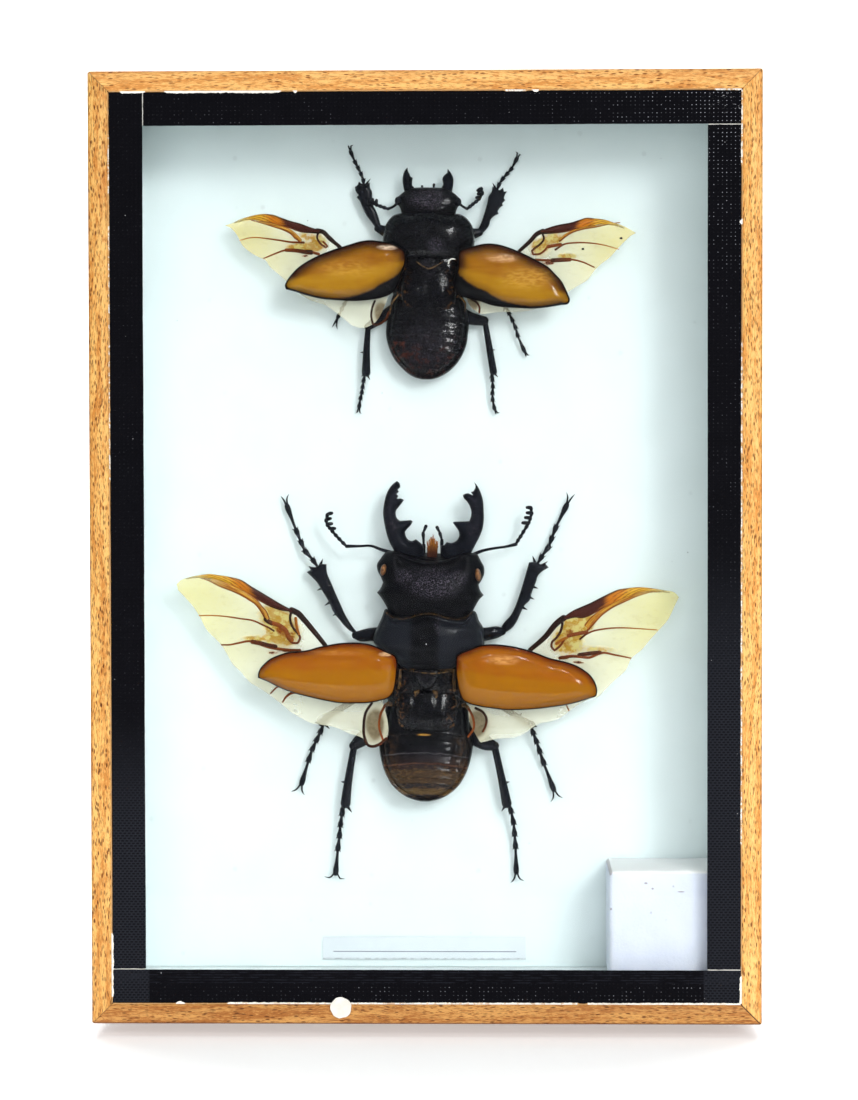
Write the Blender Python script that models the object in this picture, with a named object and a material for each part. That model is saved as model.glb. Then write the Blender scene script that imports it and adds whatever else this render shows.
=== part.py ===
"""Two stag beetles, wings spread, mounted in a shallow wooden case with a glass front.

Metres, +Z up. The case stands on its bottom rail, its glass faces -Y, and the origin is at the
middle of the foot of its bounding box. Each beetle is drawn in millimetres on the mounting board:
x to the right, y towards its head from the hind edge of its pronotum, and height off the board.
"""
import math

import bmesh
import bpy
from mathutils import Matrix, Vector

for old in list(bpy.data.objects):
    bpy.data.objects.remove(old)

MM = 0.001
GAP = 0.3 * MM                  # left between pieces that touch

# The case, about A5, and its four mitred rails
CASE_WIDTH = 148 * MM
CASE_HEIGHT = 210 * MM
CASE_DEPTH = 40 * MM
RAIL_WALL = 8 * MM              # behind the glass
RAIL_LIP = 4.4 * MM             # beside the glass and beside the back board
RAIL_EDGE_ROUND = 0.7 * MM

GLASS_THICKNESS = 2 * MM
TAPE_WIDTH = 7.4 * MM
TAPE_THICKNESS = 0.25 * MM
TAPE_RECESS = 0.2 * MM          # behind the rails' front faces
BOARD_DEPTH = 30 * MM           # from the rails' front faces to the white board
BACK_BOARD_THICKNESS = 3 * MM

DAB_DIAMETER = 4.9 * MM
DAB_THICKNESS = 0.4 * MM
DAB_CENTRE = (-18.8 * MM, 3.8 * MM)     # across, up
LABEL_SIZE = (46.6 * MM, 5.2 * MM)
LABEL_CENTRE = (-1.1 * MM, 12.4 * MM)
LABEL_THICKNESS = 0.2 * MM
BLOCK_LEFT = 40.5 * MM
BLOCK_TOP = 33.4 * MM
BLOCK_FRONT_DEPTH = 5.8 * MM            # from the rails' front faces
BLOCK_ROUND = 1.2 * MM

FRONT_Y = -(CASE_DEPTH - GAP - DAB_THICKNESS) / 2   # the dab stands proud by its gap and thickness
BACK_Y = FRONT_Y + CASE_DEPTH
LEDGE_DEPTH = TAPE_RECESS + TAPE_THICKNESS + GLASS_THICKNESS + 2 * GAP
BOARD_Y = FRONT_Y + BOARD_DEPTH
BACK_BOARD_Y = BACK_Y - BACK_BOARD_THICKNESS
HALF_WIDTH = CASE_WIDTH / 2

# Where each beetle lies: its pronotum's hind edge across and up the case, and its lean in degrees
MALE_PLACE = (0.0 * MM, 77.6 * MM, -1.5)
FEMALE_PLACE = (0.3 * MM, 170.3 * MM, -0.5)

# Body sections: (y, half width, underside height, top height)
MALE_HEAD = [(26.3, 9.0, 5.4, 10.0), (25.4, 10.5, 4.6, 11.2), (22.9, 11.6, 4.2, 12.2), (21.6, 12.1, 4.0, 12.7),
             (20.0, 11.6, 3.8, 13.1), (18.3, 10.9, 3.6, 13.4), (16.6, 12.0, 3.7, 13.5), (15.2, 11.0, 3.8, 13.3),
             (13.9, 10.0, 4.0, 13.0), (12.0, 9.2, 4.6, 12.2)]
MALE_PRONOTUM = [(13.0, 9.3, 4.2, 12.4), (12.2, 10.2, 3.4, 13.4), (11.0, 10.9, 3.0, 14.3), (9.3, 11.9, 2.8, 15.0),
                 (6.8, 12.5, 2.7, 15.4), (5.3, 12.5, 2.7, 15.2), (3.1, 10.3, 2.9, 14.2), (0.7, 6.9, 3.2, 13.1),
                 (-0.4, 6.2, 4.0, 12.2)]
MALE_THORAX = [(2.5, 6.6, 3.0, 11.0), (0.5, 8.4, 1.9, 11.9), (-3.0, 9.3, 1.6, 12.0), (-6.5, 9.3, 1.5, 11.6),
               (-8.7, 8.4, 1.8, 11.2)]
MALE_ABDOMEN = [(-7.6, 8.6, 2.0, 9.6), (-9.2, 9.5, 1.6, 10.6), (-14.3, 10.3, 1.4, 10.8), (-17.9, 10.7, 1.4, 10.8),
                (-20.4, 10.4, 1.5, 10.7), (-22.8, 9.8, 1.7, 10.5), (-24.9, 9.0, 2.0, 10.2), (-27.0, 7.6, 2.5, 9.8),
                (-28.8, 5.8, 3.2, 9.2), (-30.0, 3.9, 4.2, 8.4), (-30.7, 1.6, 5.4, 7.4)]
FEMALE_HEAD = [(15.8, 4.4, 3.6, 6.6), (15.0, 5.3, 3.2, 7.4), (14.1, 6.5, 3.0, 7.9), (12.8, 7.3, 2.8, 8.3),
               (11.6, 6.6, 2.8, 8.4), (10.2, 6.1, 2.9, 8.3), (9.0, 6.0, 3.2, 8.0)]
FEMALE_PRONOTUM = [(10.3, 6.4, 3.0, 8.8), (9.6, 8.0, 2.6, 9.6), (8.5, 9.1, 2.4, 10.2), (6.8, 10.0, 2.2, 10.8),
                   (3.9, 10.5, 2.1, 10.9), (1.8, 9.9, 2.2, 10.3), (0.1, 7.4, 2.6, 9.5), (-0.5, 6.9, 3.2, 8.9)]
FEMALE_THORAX = [(1.6, 6.0, 2.4, 8.4), (0.0, 7.8, 1.5, 9.0), (-3.0, 8.5, 1.2, 9.1), (-6.5, 8.5, 1.2, 8.8),
                 (-9.0, 7.8, 1.4, 8.4)]
FEMALE_ABDOMEN = [(-7.8, 7.8, 1.6, 7.4), (-9.4, 8.7, 1.3, 8.1), (-12.5, 9.2, 1.2, 8.3), (-15.3, 9.5, 1.2, 8.4),
                  (-17.3, 9.4, 1.2, 8.3), (-19.6, 9.0, 1.4, 8.1), (-21.7, 8.2, 1.6, 7.9), (-23.6, 7.0, 1.9, 7.6),
                  (-25.3, 5.4, 2.4, 7.1), (-26.7, 3.3, 3.2, 6.4), (-27.5, 1.3, 4.0, 5.6)]

# A right mandible: stations of (x, y, height, half width), and the outline of its toothed blade. The left is its
# mirror image
MALE_MANDIBLE = [(6.6, 24.6, 7.4, 2.2), (7.4, 27.6, 7.4, 2.3), (9.0, 31.0, 7.2, 2.2), (10.1, 33.8, 7.1, 1.7),
                 (10.2, 36.4, 7.0, 1.5), (10.0, 39.2, 6.8, 1.1), (9.7, 41.6, 6.6, 0.4)]
MALE_MANDIBLE_BLADE = [(9.6, 42.3), (9.2, 40.2), (8.6, 39.9), (9.0, 39.4), (7.9, 39.6), (6.9, 39.1), (8.0, 37.7),
                       (8.8, 36.0), (8.9, 34.2), (8.4, 33.3), (4.8, 33.2), (5.4, 31.9), (6.3, 30.7), (6.3, 29.7),
                       (5.5, 28.6), (3.2, 28.3), (2.3, 27.6), (2.3, 24.6), (8.6, 24.6), (10.1, 28.0), (11.4, 31.0),
                       (11.9, 33.8), (11.8, 36.2), (11.4, 38.7), (10.6, 40.8)]
MALE_MOUTH = [[(0.4, 23.4, 7.4, 2.6), (0.5, 26.4, 7.3, 2.3), (0.6, 29.6, 7.2, 1.0)],
              [(-1.4, 25.2, 7.0, 0.45), (-1.8, 29.6, 6.4, 0.35), (-1.1, 32.0, 6.4, 0.3)],
              [(2.2, 25.2, 7.0, 0.45), (2.4, 29.4, 6.4, 0.35), (1.4, 31.8, 6.4, 0.3)]]
FEMALE_MANDIBLE = [(4.0, 14.0, 5.0, 1.2), (4.5, 16.4, 5.0, 1.1), (4.4, 18.4, 4.9, 0.9), (4.4, 20.0, 4.8, 0.3)]
FEMALE_MANDIBLE_BLADE = [(4.4, 20.6), (4.2, 19.3), (3.0, 18.3), (3.3, 16.8), (2.9, 15.4), (2.9, 13.8), (5.2, 13.8),
                         (5.7, 16.4), (5.7, 18.2), (5.1, 19.7)]
FEMALE_MOUTH = [[(-0.2, 14.2, 5.0, 2.2), (-0.2, 16.2, 4.9, 1.6)]]

# Antennae: stations to the elbow and along the club, and the tips of the club's leaves
MALE_ANTENNAE = [
    ([(-9.0, 25.6, 7.6, 0.5), (-13.4, 27.1, 7.4, 0.4), (-19.1, 27.0, 7.0, 0.5), (-22.5, 30.2, 6.8, 0.45),
      (-24.0, 32.7, 6.8, 0.6), (-23.5, 34.4, 6.8, 0.4)], [(-22.4, 34.2), (-22.6, 33.1), (-22.2, 32.0), (-21.4, 31.0)]),
    ([(9.6, 25.6, 7.6, 0.5), (14.5, 27.3, 7.4, 0.4), (19.0, 28.2, 7.0, 0.5), (21.7, 32.4, 6.8, 0.45),
      (22.8, 35.4, 6.8, 0.6), (22.4, 37.0, 6.8, 0.4)], [(21.3, 36.6), (21.3, 35.5), (20.9, 34.4), (20.3, 33.3)])]
FEMALE_ANTENNAE = [
    ([(-6.8, 13.0, 5.4, 0.4), (-9.2, 11.1, 5.2, 0.4), (-11.6, 12.0, 5.0, 0.4), (-13.9, 12.2, 5.0, 0.4)],
     [(-13.2, 13.7), (-12.4, 13.6), (-11.6, 13.4)]),
    ([(6.6, 13.0, 5.4, 0.4), (8.6, 11.2, 5.2, 0.4), (11.4, 13.4, 5.0, 0.4), (12.4, 15.2, 5.0, 0.45),
      (11.8, 16.2, 5.0, 0.3)], [(10.6, 14.9), (10.7, 14.2), (10.4, 13.7)])]

# Legs: femur, tibia, the tips of its spines, the joints of the foot, and the tips of the two claws
MALE_LEGS = {
    "front_left": ([(-5.0, 6.8, 4.6, 2.0), (-11.5, 6.9, 5.0, 1.7), (-16.4, 6.7, 4.8, 1.0)],
                   [(-16.6, 6.9, 4.6, 0.7), (-19.4, 10.6, 4.4, 1.0), (-21.2, 13.2, 4.3, 1.1), (-23.5, 17.4, 4.2, 1.3),
                    (-25.4, 20.8, 4.0, 1.6), (-25.6, 22.0, 3.9, 1.0)],
                   [(-28.3, 20.7), (-27.8, 22.2), (-24.6, 23.8), (-25.7, 16.6), (-23.9, 13.2), (-22.0, 10.9)],
                   [(-25.7, 21.6), (-27.2, 23.8), (-29.0, 25.8), (-30.1, 28.2), (-31.4, 31.2), (-33.2, 35.6)],
                   [(-34.7, 37.8), (-32.8, 38.2)]),
    "front_right": ([(5.0, 7.0, 4.6, 2.0), (12.4, 7.6, 5.0, 1.7), (16.6, 8.1, 4.8, 1.0)],
                    [(16.6, 8.0, 4.6, 0.7), (19.4, 11.7, 4.4, 1.1), (21.2, 15.4, 4.3, 1.2), (22.5, 18.8, 4.2, 1.4),
                     (23.7, 22.2, 4.0, 1.6), (24.1, 23.6, 3.9, 1.0)],
                    [(27.0, 23.1), (26.8, 24.6), (23.2, 25.6), (24.6, 18.3), (23.8, 15.8), (22.3, 13.4)],
                    [(24.3, 23.6), (26.0, 26.2), (27.3, 28.8), (28.2, 31.8), (29.5, 34.4), (30.8, 37.6)],
                    [(30.6, 40.3), (32.5, 39.9)]),
    "middle_left": ([(-4.5, -4.0, 3.6, 1.7), (-10.0, -5.0, 4.2, 1.4), (-13.0, -6.2, 4.4, 0.9)],
                    [(-12.6, -6.0, 4.4, 0.7), (-18.8, -9.7, 4.2, 0.8), (-24.0, -13.8, 3.8, 0.9)],
                    [(-25.6, -13.6), (-22.2, -15.0)],
                    [(-23.4, -13.6), (-24.6, -17.0), (-25.8, -19.4), (-26.7, -22.0), (-27.4, -24.4), (-28.4, -28.0)],
                    [(-30.8, -29.9), (-27.7, -30.6)]),
    "middle_right": ([(4.5, -4.0, 3.6, 1.7), (10.0, -5.4, 4.2, 1.4), (13.6, -6.8, 4.4, 0.9)],
                     [(13.2, -6.6, 4.4, 0.7), (19.2, -10.2, 4.2, 0.8), (23.9, -12.9, 3.8, 0.9)],
                     [(25.2, -13.3), (21.8, -13.6)],
                     [(23.6, -12.8), (24.6, -15.4), (25.6, -18.0), (26.5, -20.5), (27.6, -23.2), (29.4, -27.8)],
                     [(28.8, -30.7), (31.5, -29.7)]),
    "hind_left": ([(-4.0, -9.6, 3.6, 1.8), (-11.5, -14.6, 4.2, 1.9), (-16.4, -18.4, 4.6, 1.2)],
                  [(-16.3, -18.2, 4.6, 0.8), (-17.2, -24.0, 4.4, 0.9), (-18.1, -32.0, 4.0, 1.1)],
                  [(-16.6, -34.0), (-19.4, -33.6)],
                  [(-18.3, -31.4), (-18.9, -35.6), (-19.2, -38.4), (-19.5, -41.2), (-19.8, -44.2), (-20.1, -48.4)],
                  [(-22.7, -49.3), (-18.0, -49.7)]),
    "hind_right": ([(4.0, -9.6, 3.6, 1.8), (10.8, -15.8, 4.2, 1.9), (15.3, -17.4, 4.6, 1.3)],
                   [(15.4, -17.2, 4.6, 0.8), (17.2, -24.0, 4.4, 0.9), (18.7, -31.0, 4.0, 1.1)],
                   [(17.6, -32.8), (20.2, -32.4)],
                   [(18.8, -30.2), (20.2, -34.6), (20.7, -37.4), (20.9, -40.2), (21.1, -43.2), (21.3, -47.2)],
                   [(20.1, -49.5), (23.1, -49.0)])}
FEMALE_LEGS = {
    "front_left": ([(-4.4, 4.6, 3.2, 1.5), (-8.6, 5.6, 3.6, 1.5), (-11.6, 6.8, 3.6, 0.9)],
                   [(-11.3, 6.6, 3.5, 0.6), (-13.0, 10.0, 3.4, 1.0), (-14.2, 12.6, 3.3, 1.3), (-15.1, 15.8, 3.2, 1.6)],
                   [(-15.8, 11.0), (-17.0, 13.9), (-16.0, 17.6), (-13.4, 17.5)],
                   [(-15.0, 15.4), (-15.1, 18.0), (-15.8, 19.6), (-16.5, 21.0), (-17.1, 22.4), (-18.0, 24.3)],
                   [(-18.6, 25.8), (-17.5, 25.9)]),
    "front_right": ([(4.4, 4.6, 3.2, 1.5), (8.8, 5.4, 3.6, 1.5), (11.5, 6.0, 3.6, 0.9)],
                    [(11.3, 5.9, 3.5, 0.6), (12.9, 8.2, 3.4, 0.9), (14.0, 10.6, 3.3, 1.3), (15.5, 15.2, 3.2, 1.5)],
                    [(16.2, 10.2), (17.2, 12.2), (18.0, 15.3), (14.4, 16.9)],
                    [(15.4, 14.8), (16.1, 17.4), (17.4, 19.0), (18.4, 20.1), (19.2, 21.3), (19.9, 23.0)],
                    [(19.6, 24.5), (20.8, 23.8)]),
    "middle_left": ([(-4.0, -3.4, 2.8, 1.2), (-8.5, -4.0, 3.2, 1.1), (-12.0, -4.8, 3.4, 0.8)],
                    [(-11.7, -4.7, 3.4, 0.6), (-14.6, -5.7, 3.2, 0.7), (-17.2, -7.2, 3.0, 0.7)],
                    [(-18.2, -6.6), (-17.0, -8.4)],
                    [(-16.9, -7.0), (-17.9, -8.2), (-18.6, -9.3), (-19.2, -10.4), (-19.8, -11.5), (-20.7, -13.4)],
                    [(-22.0, -15.6), (-20.8, -16.1)]),
    "middle_right": ([(4.0, -3.4, 2.8, 1.2), (8.5, -4.6, 3.2, 1.1), (12.0, -6.2, 3.4, 0.8)],
                     [(11.7, -6.1, 3.4, 0.6), (14.8, -8.0, 3.2, 0.7), (17.6, -10.6, 3.0, 0.7)],
                     [(18.6, -10.4), (17.0, -11.9)],
                     [(17.4, -10.4), (18.5, -12.6), (19.4, -14.2), (20.0, -15.8), (20.5, -17.6), (21.9, -20.8)],
                     [(22.3, -22.1), (23.1, -21.7)]),
    "hind_left": ([(-3.6, -8.6, 2.8, 1.3), (-9.6, -12.8, 3.4, 1.3), (-13.7, -15.6, 3.6, 0.9)],
                  [(-13.6, -15.4, 3.6, 0.6), (-14.0, -20.9, 3.4, 0.8), (-14.1, -26.0, 3.1, 1.0)],
                  [(-13.2, -27.4), (-15.2, -26.9)],
                  [(-14.2, -25.6), (-14.7, -28.2), (-14.9, -29.6), (-15.1, -30.8), (-15.4, -32.0), (-15.7, -33.8)],
                  [(-16.4, -35.1), (-15.2, -35.3)]),
    "hind_right": ([(3.6, -8.6, 2.8, 1.3), (9.2, -13.4, 3.4, 1.5), (12.9, -14.2, 3.6, 1.0)],
                   [(13.0, -14.2, 3.6, 0.6), (13.9, -19.9, 3.4, 0.8), (14.9, -25.6, 3.1, 0.8)],
                   [(14.0, -27.0), (15.9, -26.8)],
                   [(14.8, -25.2), (14.7, -28.0), (14.8, -29.4), (14.7, -30.8), (14.8, -32.2), (15.2, -34.0)],
                   [(15.6, -35.2), (16.4, -34.9)])}

# Wing outlines, from the root along the leading edge to the tip and back
MALE_ELYTRON_LEFT = [(-6.6, 0.9), (-7.3, 2.8), (-9.9, 4.1), (-13.0, 5.2), (-17.5, 5.5), (-22.0, 4.9), (-26.5, 3.8),
                     (-31.0, 3.0), (-35.4, 1.4), (-37.4, -0.7), (-37.9, -2.6), (-35.8, -3.8), (-31.5, -5.6),
                     (-26.3, -7.0), (-20.6, -8.1), (-16.1, -8.2), (-11.5, -7.8), (-8.4, -6.8), (-7.4, -5.4),
                     (-6.8, -3.1)]
MALE_ELYTRON_RIGHT = [(6.5, 1.6), (7.1, 3.4), (10.3, 5.0), (14.0, 5.9), (17.3, 5.8), (22.4, 4.9), (27.5, 3.3),
                      (32.0, 2.1), (35.4, 0.6), (37.6, -1.9), (38.2, -4.6), (35.5, -6.1), (30.5, -7.4), (25.0, -8.4),
                      (19.4, -8.8), (15.4, -8.6), (11.0, -8.1), (8.4, -7.0), (7.3, -5.2), (6.8, -3.1)]
FEMALE_ELYTRON_LEFT = [(-4.9, -0.6), (-5.1, 1.2), (-7.4, 2.7), (-10.0, 3.4), (-13.1, 3.6), (-17.6, 2.6), (-22.1, 1.1),
                       (-26.3, -0.8), (-29.5, -3.0), (-31.4, -5.2), (-32.1, -7.1), (-30.6, -8.0), (-26.5, -9.2),
                       (-21.5, -9.9), (-16.4, -10.1), (-12.4, -9.8), (-9.2, -8.9), (-7.0, -6.8), (-5.9, -4.3),
                       (-5.1, -2.2)]
FEMALE_ELYTRON_RIGHT = [(6.6, -0.8), (6.9, 1.1), (9.0, 2.2), (11.4, 2.8), (14.0, 3.0), (18.5, 2.0), (23.0, 0.0),
                        (27.1, -2.3), (29.7, -5.0), (31.2, -7.7), (31.9, -10.2), (29.8, -10.9), (26.0, -11.4),
                        (22.0, -11.6), (17.4, -11.3), (13.6, -10.7), (10.4, -9.7), (7.6, -8.7), (6.0, -6.8),
                        (5.9, -4.0)]
MALE_HINDWING_LEFT = [(-9.4, -4.0), (-16.0, 0.6), (-23.3, 4.5), (-26.8, 8.3), (-30.4, 11.9), (-36.1, 15.0),
                      (-42.5, 18.6), (-47.6, 19.7), (-52.1, 19.6), (-56.2, 18.4), (-57.1, 16.6), (-53.5, 12.5),
                      (-51.3, 9.2), (-45.4, 1.6), (-42.3, -2.0), (-36.8, -6.5), (-30.0, -11.4), (-23.7, -13.7),
                      (-17.3, -15.7), (-11.6, -17.4), (-9.6, -12.0), (-9.3, -8.0)]
MALE_HINDWING_RIGHT = [(9.5, -4.0), (16.0, 0.6), (23.0, 4.6), (26.3, 7.8), (29.8, 11.6), (36.3, 15.6), (42.6, 18.7),
                       (47.5, 19.4), (52.2, 19.0), (56.3, 17.8), (55.2, 14.6), (52.3, 10.0), (48.3, 5.2), (44.7, 0.4),
                       (40.2, -4.1), (35.3, -7.1), (30.2, -10.7), (24.2, -12.9), (19.4, -15.5), (12.4, -16.7),
                       (9.8, -12.0), (9.4, -8.0)]
FEMALE_HINDWING_LEFT = [(-8.6, -3.0), (-14.0, 0.2), (-19.9, 2.2), (-22.2, 4.1), (-24.6, 6.1), (-29.0, 7.5),
                        (-34.0, 9.1), (-38.6, 9.5), (-42.7, 8.4), (-46.1, 6.8), (-43.1, 4.4), (-41.4, 1.6),
                        (-36.9, -0.9), (-32.4, -5.3), (-27.4, -9.3), (-22.4, -11.6), (-17.6, -15.0), (-14.4, -16.0),
                        (-12.2, -14.8), (-9.6, -11.0), (-8.6, -7.0)]
FEMALE_HINDWING_RIGHT = [(8.6, -3.0), (14.0, -0.2), (20.5, 1.5), (23.0, 3.8), (25.2, 6.1), (29.7, 7.6), (34.8, 9.0),
                         (39.9, 8.7), (43.7, 7.5), (47.0, 5.7), (44.4, 3.9), (41.1, 0.3), (37.3, -3.1), (33.7, -6.4),
                         (29.6, -9.2), (25.0, -11.2), (19.0, -12.6), (14.0, -13.2), (10.4, -12.4), (9.0, -10.0),
                         (8.6, -7.0)]

# Wing heights off the board at root and tip, crown in the middle and thickness
MALE_ELYTRON_LIE = (13.7, 15.6, 2.6, 0.5)
MALE_HINDWING_LIE = (9.9, 8.8, 0.4, 0.3)
FEMALE_ELYTRON_LIE = (10.4, 12.2, 2.2, 0.5)
FEMALE_HINDWING_LIE = (7.6, 6.9, 0.3, 0.3)

# The strongest ribs of each hindwing: stations of (x, y, radius)
MALE_RIBS_LEFT = [[(-23.8, 4.6, 0.4), (-31.0, 11.9, 0.6), (-40.7, 17.0, 0.7), (-49.0, 19.3, 0.3)],
                  [(-34.6, 7.6, 0.3), (-39.4, 9.4, 0.25), (-50.6, 10.4, 0.2)],
                  [(-29.0, 3.2, 0.3), (-37.0, 4.1, 0.35), (-46.0, 4.0, 0.2)]]
MALE_RIBS_RIGHT = [[(23.6, 4.8, 0.4), (30.6, 11.6, 0.6), (40.4, 17.1, 0.7), (49.0, 18.9, 0.3)],
                   [(34.2, 7.2, 0.3), (38.7, 9.0, 0.25), (50.6, 9.7, 0.2)],
                   [(30.0, 3.1, 0.3), (36.5, 4.0, 0.35), (45.6, 3.6, 0.2)]]
FEMALE_RIBS_LEFT = [[(-19.6, 1.8, 0.35), (-24.8, 5.8, 0.5), (-33.6, 8.4, 0.5), (-39.6, 9.1, 0.25)],
                    [(-28.0, 3.2, 0.25), (-34.7, 3.8, 0.2), (-41.4, 4.0, 0.2)],
                    [(-25.0, 0.4, 0.25), (-30.8, 1.3, 0.3), (-36.2, 0.1, 0.2)]]
FEMALE_RIBS_RIGHT = [[(20.2, 1.2, 0.35), (25.2, 5.7, 0.5), (34.4, 8.3, 0.5), (40.4, 8.2, 0.25)],
                     [(29.0, 2.2, 0.25), (35.4, 3.6, 0.2), (42.0, 2.3, 0.2)],
                     [(25.0, -0.5, 0.25), (32.1, -0.3, 0.3), (36.8, -1.5, 0.2)]]

BODY_SIDES = 12
LIMB_SIDES = 5
FOOT_SIDES = 4
THIN_SIDES = 3
SECTION_SQUARENESS = 2.3        # 2 is an ellipse
LIMB_FLATNESS = 0.8             # thickness off the board against width along it
FOOT_KNOT = 0.6
FOOT_NECK = 0.34
SPINE_ROOT = 0.35
POINT = 0.07
FOOT_LIFT = 1.0                 # height of the claws' tips off the board


def material(name, colour, roughness, metallic=0.0, alpha=1.0):
    made = bpy.data.materials.new(name)
    made.use_nodes = True
    shader = made.node_tree.nodes["Principled BSDF"]
    shader.inputs["Base Color"].default_value = (*colour, 1.0)
    shader.inputs["Roughness"].default_value = roughness
    shader.inputs["Metallic"].default_value = metallic
    shader.inputs["Alpha"].default_value = alpha
    return made


WOOD = material("pale_oak", (0.62, 0.34, 0.13), 0.55)
GLASS = material("glass", (0.9, 0.95, 0.95), 0.03, alpha=0.2)
TAPE = material("black_cloth_tape", (0.012, 0.012, 0.016), 0.5)
WHITE_BOARD = material("white_board", (0.86, 0.92, 0.92), 0.7)
BACK_BOARD = material("brown_back_board", (0.36, 0.24, 0.14), 0.8)
LABEL_PAPER = material("label_paper", (0.82, 0.84, 0.82), 0.8)
BLOCK_FOAM = material("block_foam", (0.87, 0.9, 0.95), 0.45)
DAB_WHITE = material("dab_white", (0.88, 0.88, 0.85), 0.6)
SHELL_BLACK = material("black_shell", (0.012, 0.012, 0.018), 0.25)
ELYTRON_BROWN = material("elytron_brown", (0.36, 0.13, 0.02), 0.25)
ELYTRON_OCHRE = material("elytron_ochre", (0.38, 0.2, 0.03), 0.25)
WING_MEMBRANE = material("wing_membrane", (0.72, 0.62, 0.38), 0.35, alpha=0.6)


def finish_object(name, mesh, look, smooth_below=40):
    """Links a mesh as a named object, shaded smooth up to an angle in degrees."""
    thing = bpy.data.objects.new(name, mesh)
    bpy.context.scene.collection.objects.link(thing)
    mesh.materials.clear()
    mesh.materials.append(look)
    mesh.shade_smooth()
    mesh.set_sharp_from_angle(angle=math.radians(smooth_below))
    return thing


def mesh_from(bm, name):
    bmesh.ops.recalc_face_normals(bm, faces=bm.faces)
    mesh = bpy.data.meshes.new(name)
    bm.to_mesh(mesh)
    bm.free()
    return mesh


def box(name, low, high, look, rounding=0.0, segments=2):
    """A block between two corners, its edges rounded."""
    bm = bmesh.new()
    bmesh.ops.create_cube(bm, size=1.0)
    size = Vector(high) - Vector(low)
    bmesh.ops.scale(bm, vec=size, verts=bm.verts)
    bmesh.ops.translate(bm, vec=(Vector(high) + Vector(low)) / 2, verts=bm.verts)
    if rounding:
        bmesh.ops.bevel(bm, geom=bm.edges[:], offset=rounding, segments=segments, profile=0.5,
                        affect="EDGES", material=-1)
    return finish_object(name, mesh_from(bm, name), look)


def sweep(bm, rings):
    """A closed solid through a row of rings, each a loop of points, with flat ends."""
    count = len(rings[0])
    verts = bmesh.ops.create_circle(bm, cap_ends=True, radius=1.0, segments=count)["verts"]
    face = verts[0].link_faces[0]
    for vert, point in zip(face.verts, rings[0]):
        vert.co = point
    for number, ring in enumerate(rings[1:]):
        grown = bmesh.ops.extrude_face_region(bm, geom=[face], use_keep_orig=True)["geom"]
        if number:
            bmesh.ops.delete(bm, geom=[face], context="FACES_ONLY")
        face = next(part for part in grown if isinstance(part, bmesh.types.BMFace))
        for vert, point in zip(face.verts, ring):
            vert.co = point
    return bm


def body_mesh(name, stations):
    """One body section: rounded cross-sections through (y, half width, underside, top)."""
    rings = []
    for y, half_width, low, high in stations:
        middle, half_height = (low + high) / 2, (high - low) / 2
        ring = []
        for step in range(BODY_SIDES):
            turn = 2 * math.pi * step / BODY_SIDES
            across, up = math.cos(turn), math.sin(turn)
            ring.append((half_width * math.copysign(abs(across) ** (2 / SECTION_SQUARENESS), across), y,
                         middle + half_height * math.copysign(abs(up) ** (2 / SECTION_SQUARENESS), up)))
        rings.append(ring)
    return mesh_from(sweep(bmesh.new(), rings), name)


def limb_mesh(name, stations, sides=LIMB_SIDES, flatness=LIMB_FLATNESS):
    """A limb along (x, y, height, half width), a little flatter than it is wide."""
    points = [Vector(station[:3]) for station in stations]
    rings = []
    for number, point in enumerate(points):
        ahead = points[min(number + 1, len(points) - 1)]
        behind = points[max(number - 1, 0)]
        along = (ahead - behind).normalized()
        side = along.cross(Vector((0, 0, 1))).normalized()
        up = side.cross(along).normalized()
        half_width = stations[number][3]
        ring = []
        for step in range(sides):
            turn = 2 * math.pi * (step + 0.5) / sides
            ring.append(point + half_width * (side * math.cos(turn) + up * math.sin(turn) * flatness))
        rings.append(ring)
    return mesh_from(sweep(bmesh.new(), rings), name)


def spine_mesh(name, root, tip, height, radius=SPINE_ROOT):
    return limb_mesh(name, [(*root, height, radius), (*tip, height, POINT)], THIN_SIDES, 1.0)


def nearest_on(stations, point):
    """The point of a limb's middle line nearest to a point of the board."""
    best = None
    for start, end in zip(stations, stations[1:]):
        a, b, p = Vector(start[:2]), Vector(end[:2]), Vector(point)
        share = max(0.0, min(1.0, (p - a).dot(b - a) / (b - a).length_squared))
        spot = a.lerp(b, share)
        height = start[2] + share * (end[2] - start[2])
        if best is None or (p - spot).length < best[0]:
            best = ((p - spot).length, spot, height)
    return best[1], best[2]


def foot_stations(joints, start_height, end_height):
    """The foot's five segments, each narrow at its root and knotted at its end."""
    stations = []
    for number, (start, end) in enumerate(zip(joints, joints[1:])):
        for share, radius in ((0.12, FOOT_NECK), (0.92, FOOT_KNOT)):
            spot = Vector(start).lerp(Vector(end), share)
            height = start_height + (end_height - start_height) * (number + share) / (len(joints) - 1)
            stations.append((spot.x, spot.y, height, radius))
    return stations


def leg_meshes(name, leg):
    femur, tibia, spines, joints, claws = leg
    yield limb_mesh(name + "_femur", femur)
    yield limb_mesh(name + "_tibia", tibia)
    for number, tip in enumerate(spines):
        root, height = nearest_on(tibia, tip)
        yield spine_mesh(f"{name}_spine_{number}", root, tip, height)
    foot = foot_stations(joints, tibia[-1][2], FOOT_LIFT + 0.8)
    yield limb_mesh(name + "_foot", foot, FOOT_SIDES, 1.0)
    for number, tip in enumerate(claws):
        root = Vector(joints[-2]).lerp(Vector(joints[-1]), 0.85)
        bend = root.lerp(Vector(tip), 0.6) + (Vector(joints[-1]) - Vector(joints[-2])).normalized() * 0.3
        yield limb_mesh(f"{name}_claw_{number}", [(*root, foot[-1][2], 0.22), (*bend, FOOT_LIFT + 0.3, 0.16),
                                                  (*tip, FOOT_LIFT, POINT)], THIN_SIDES, 1.0)


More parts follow.
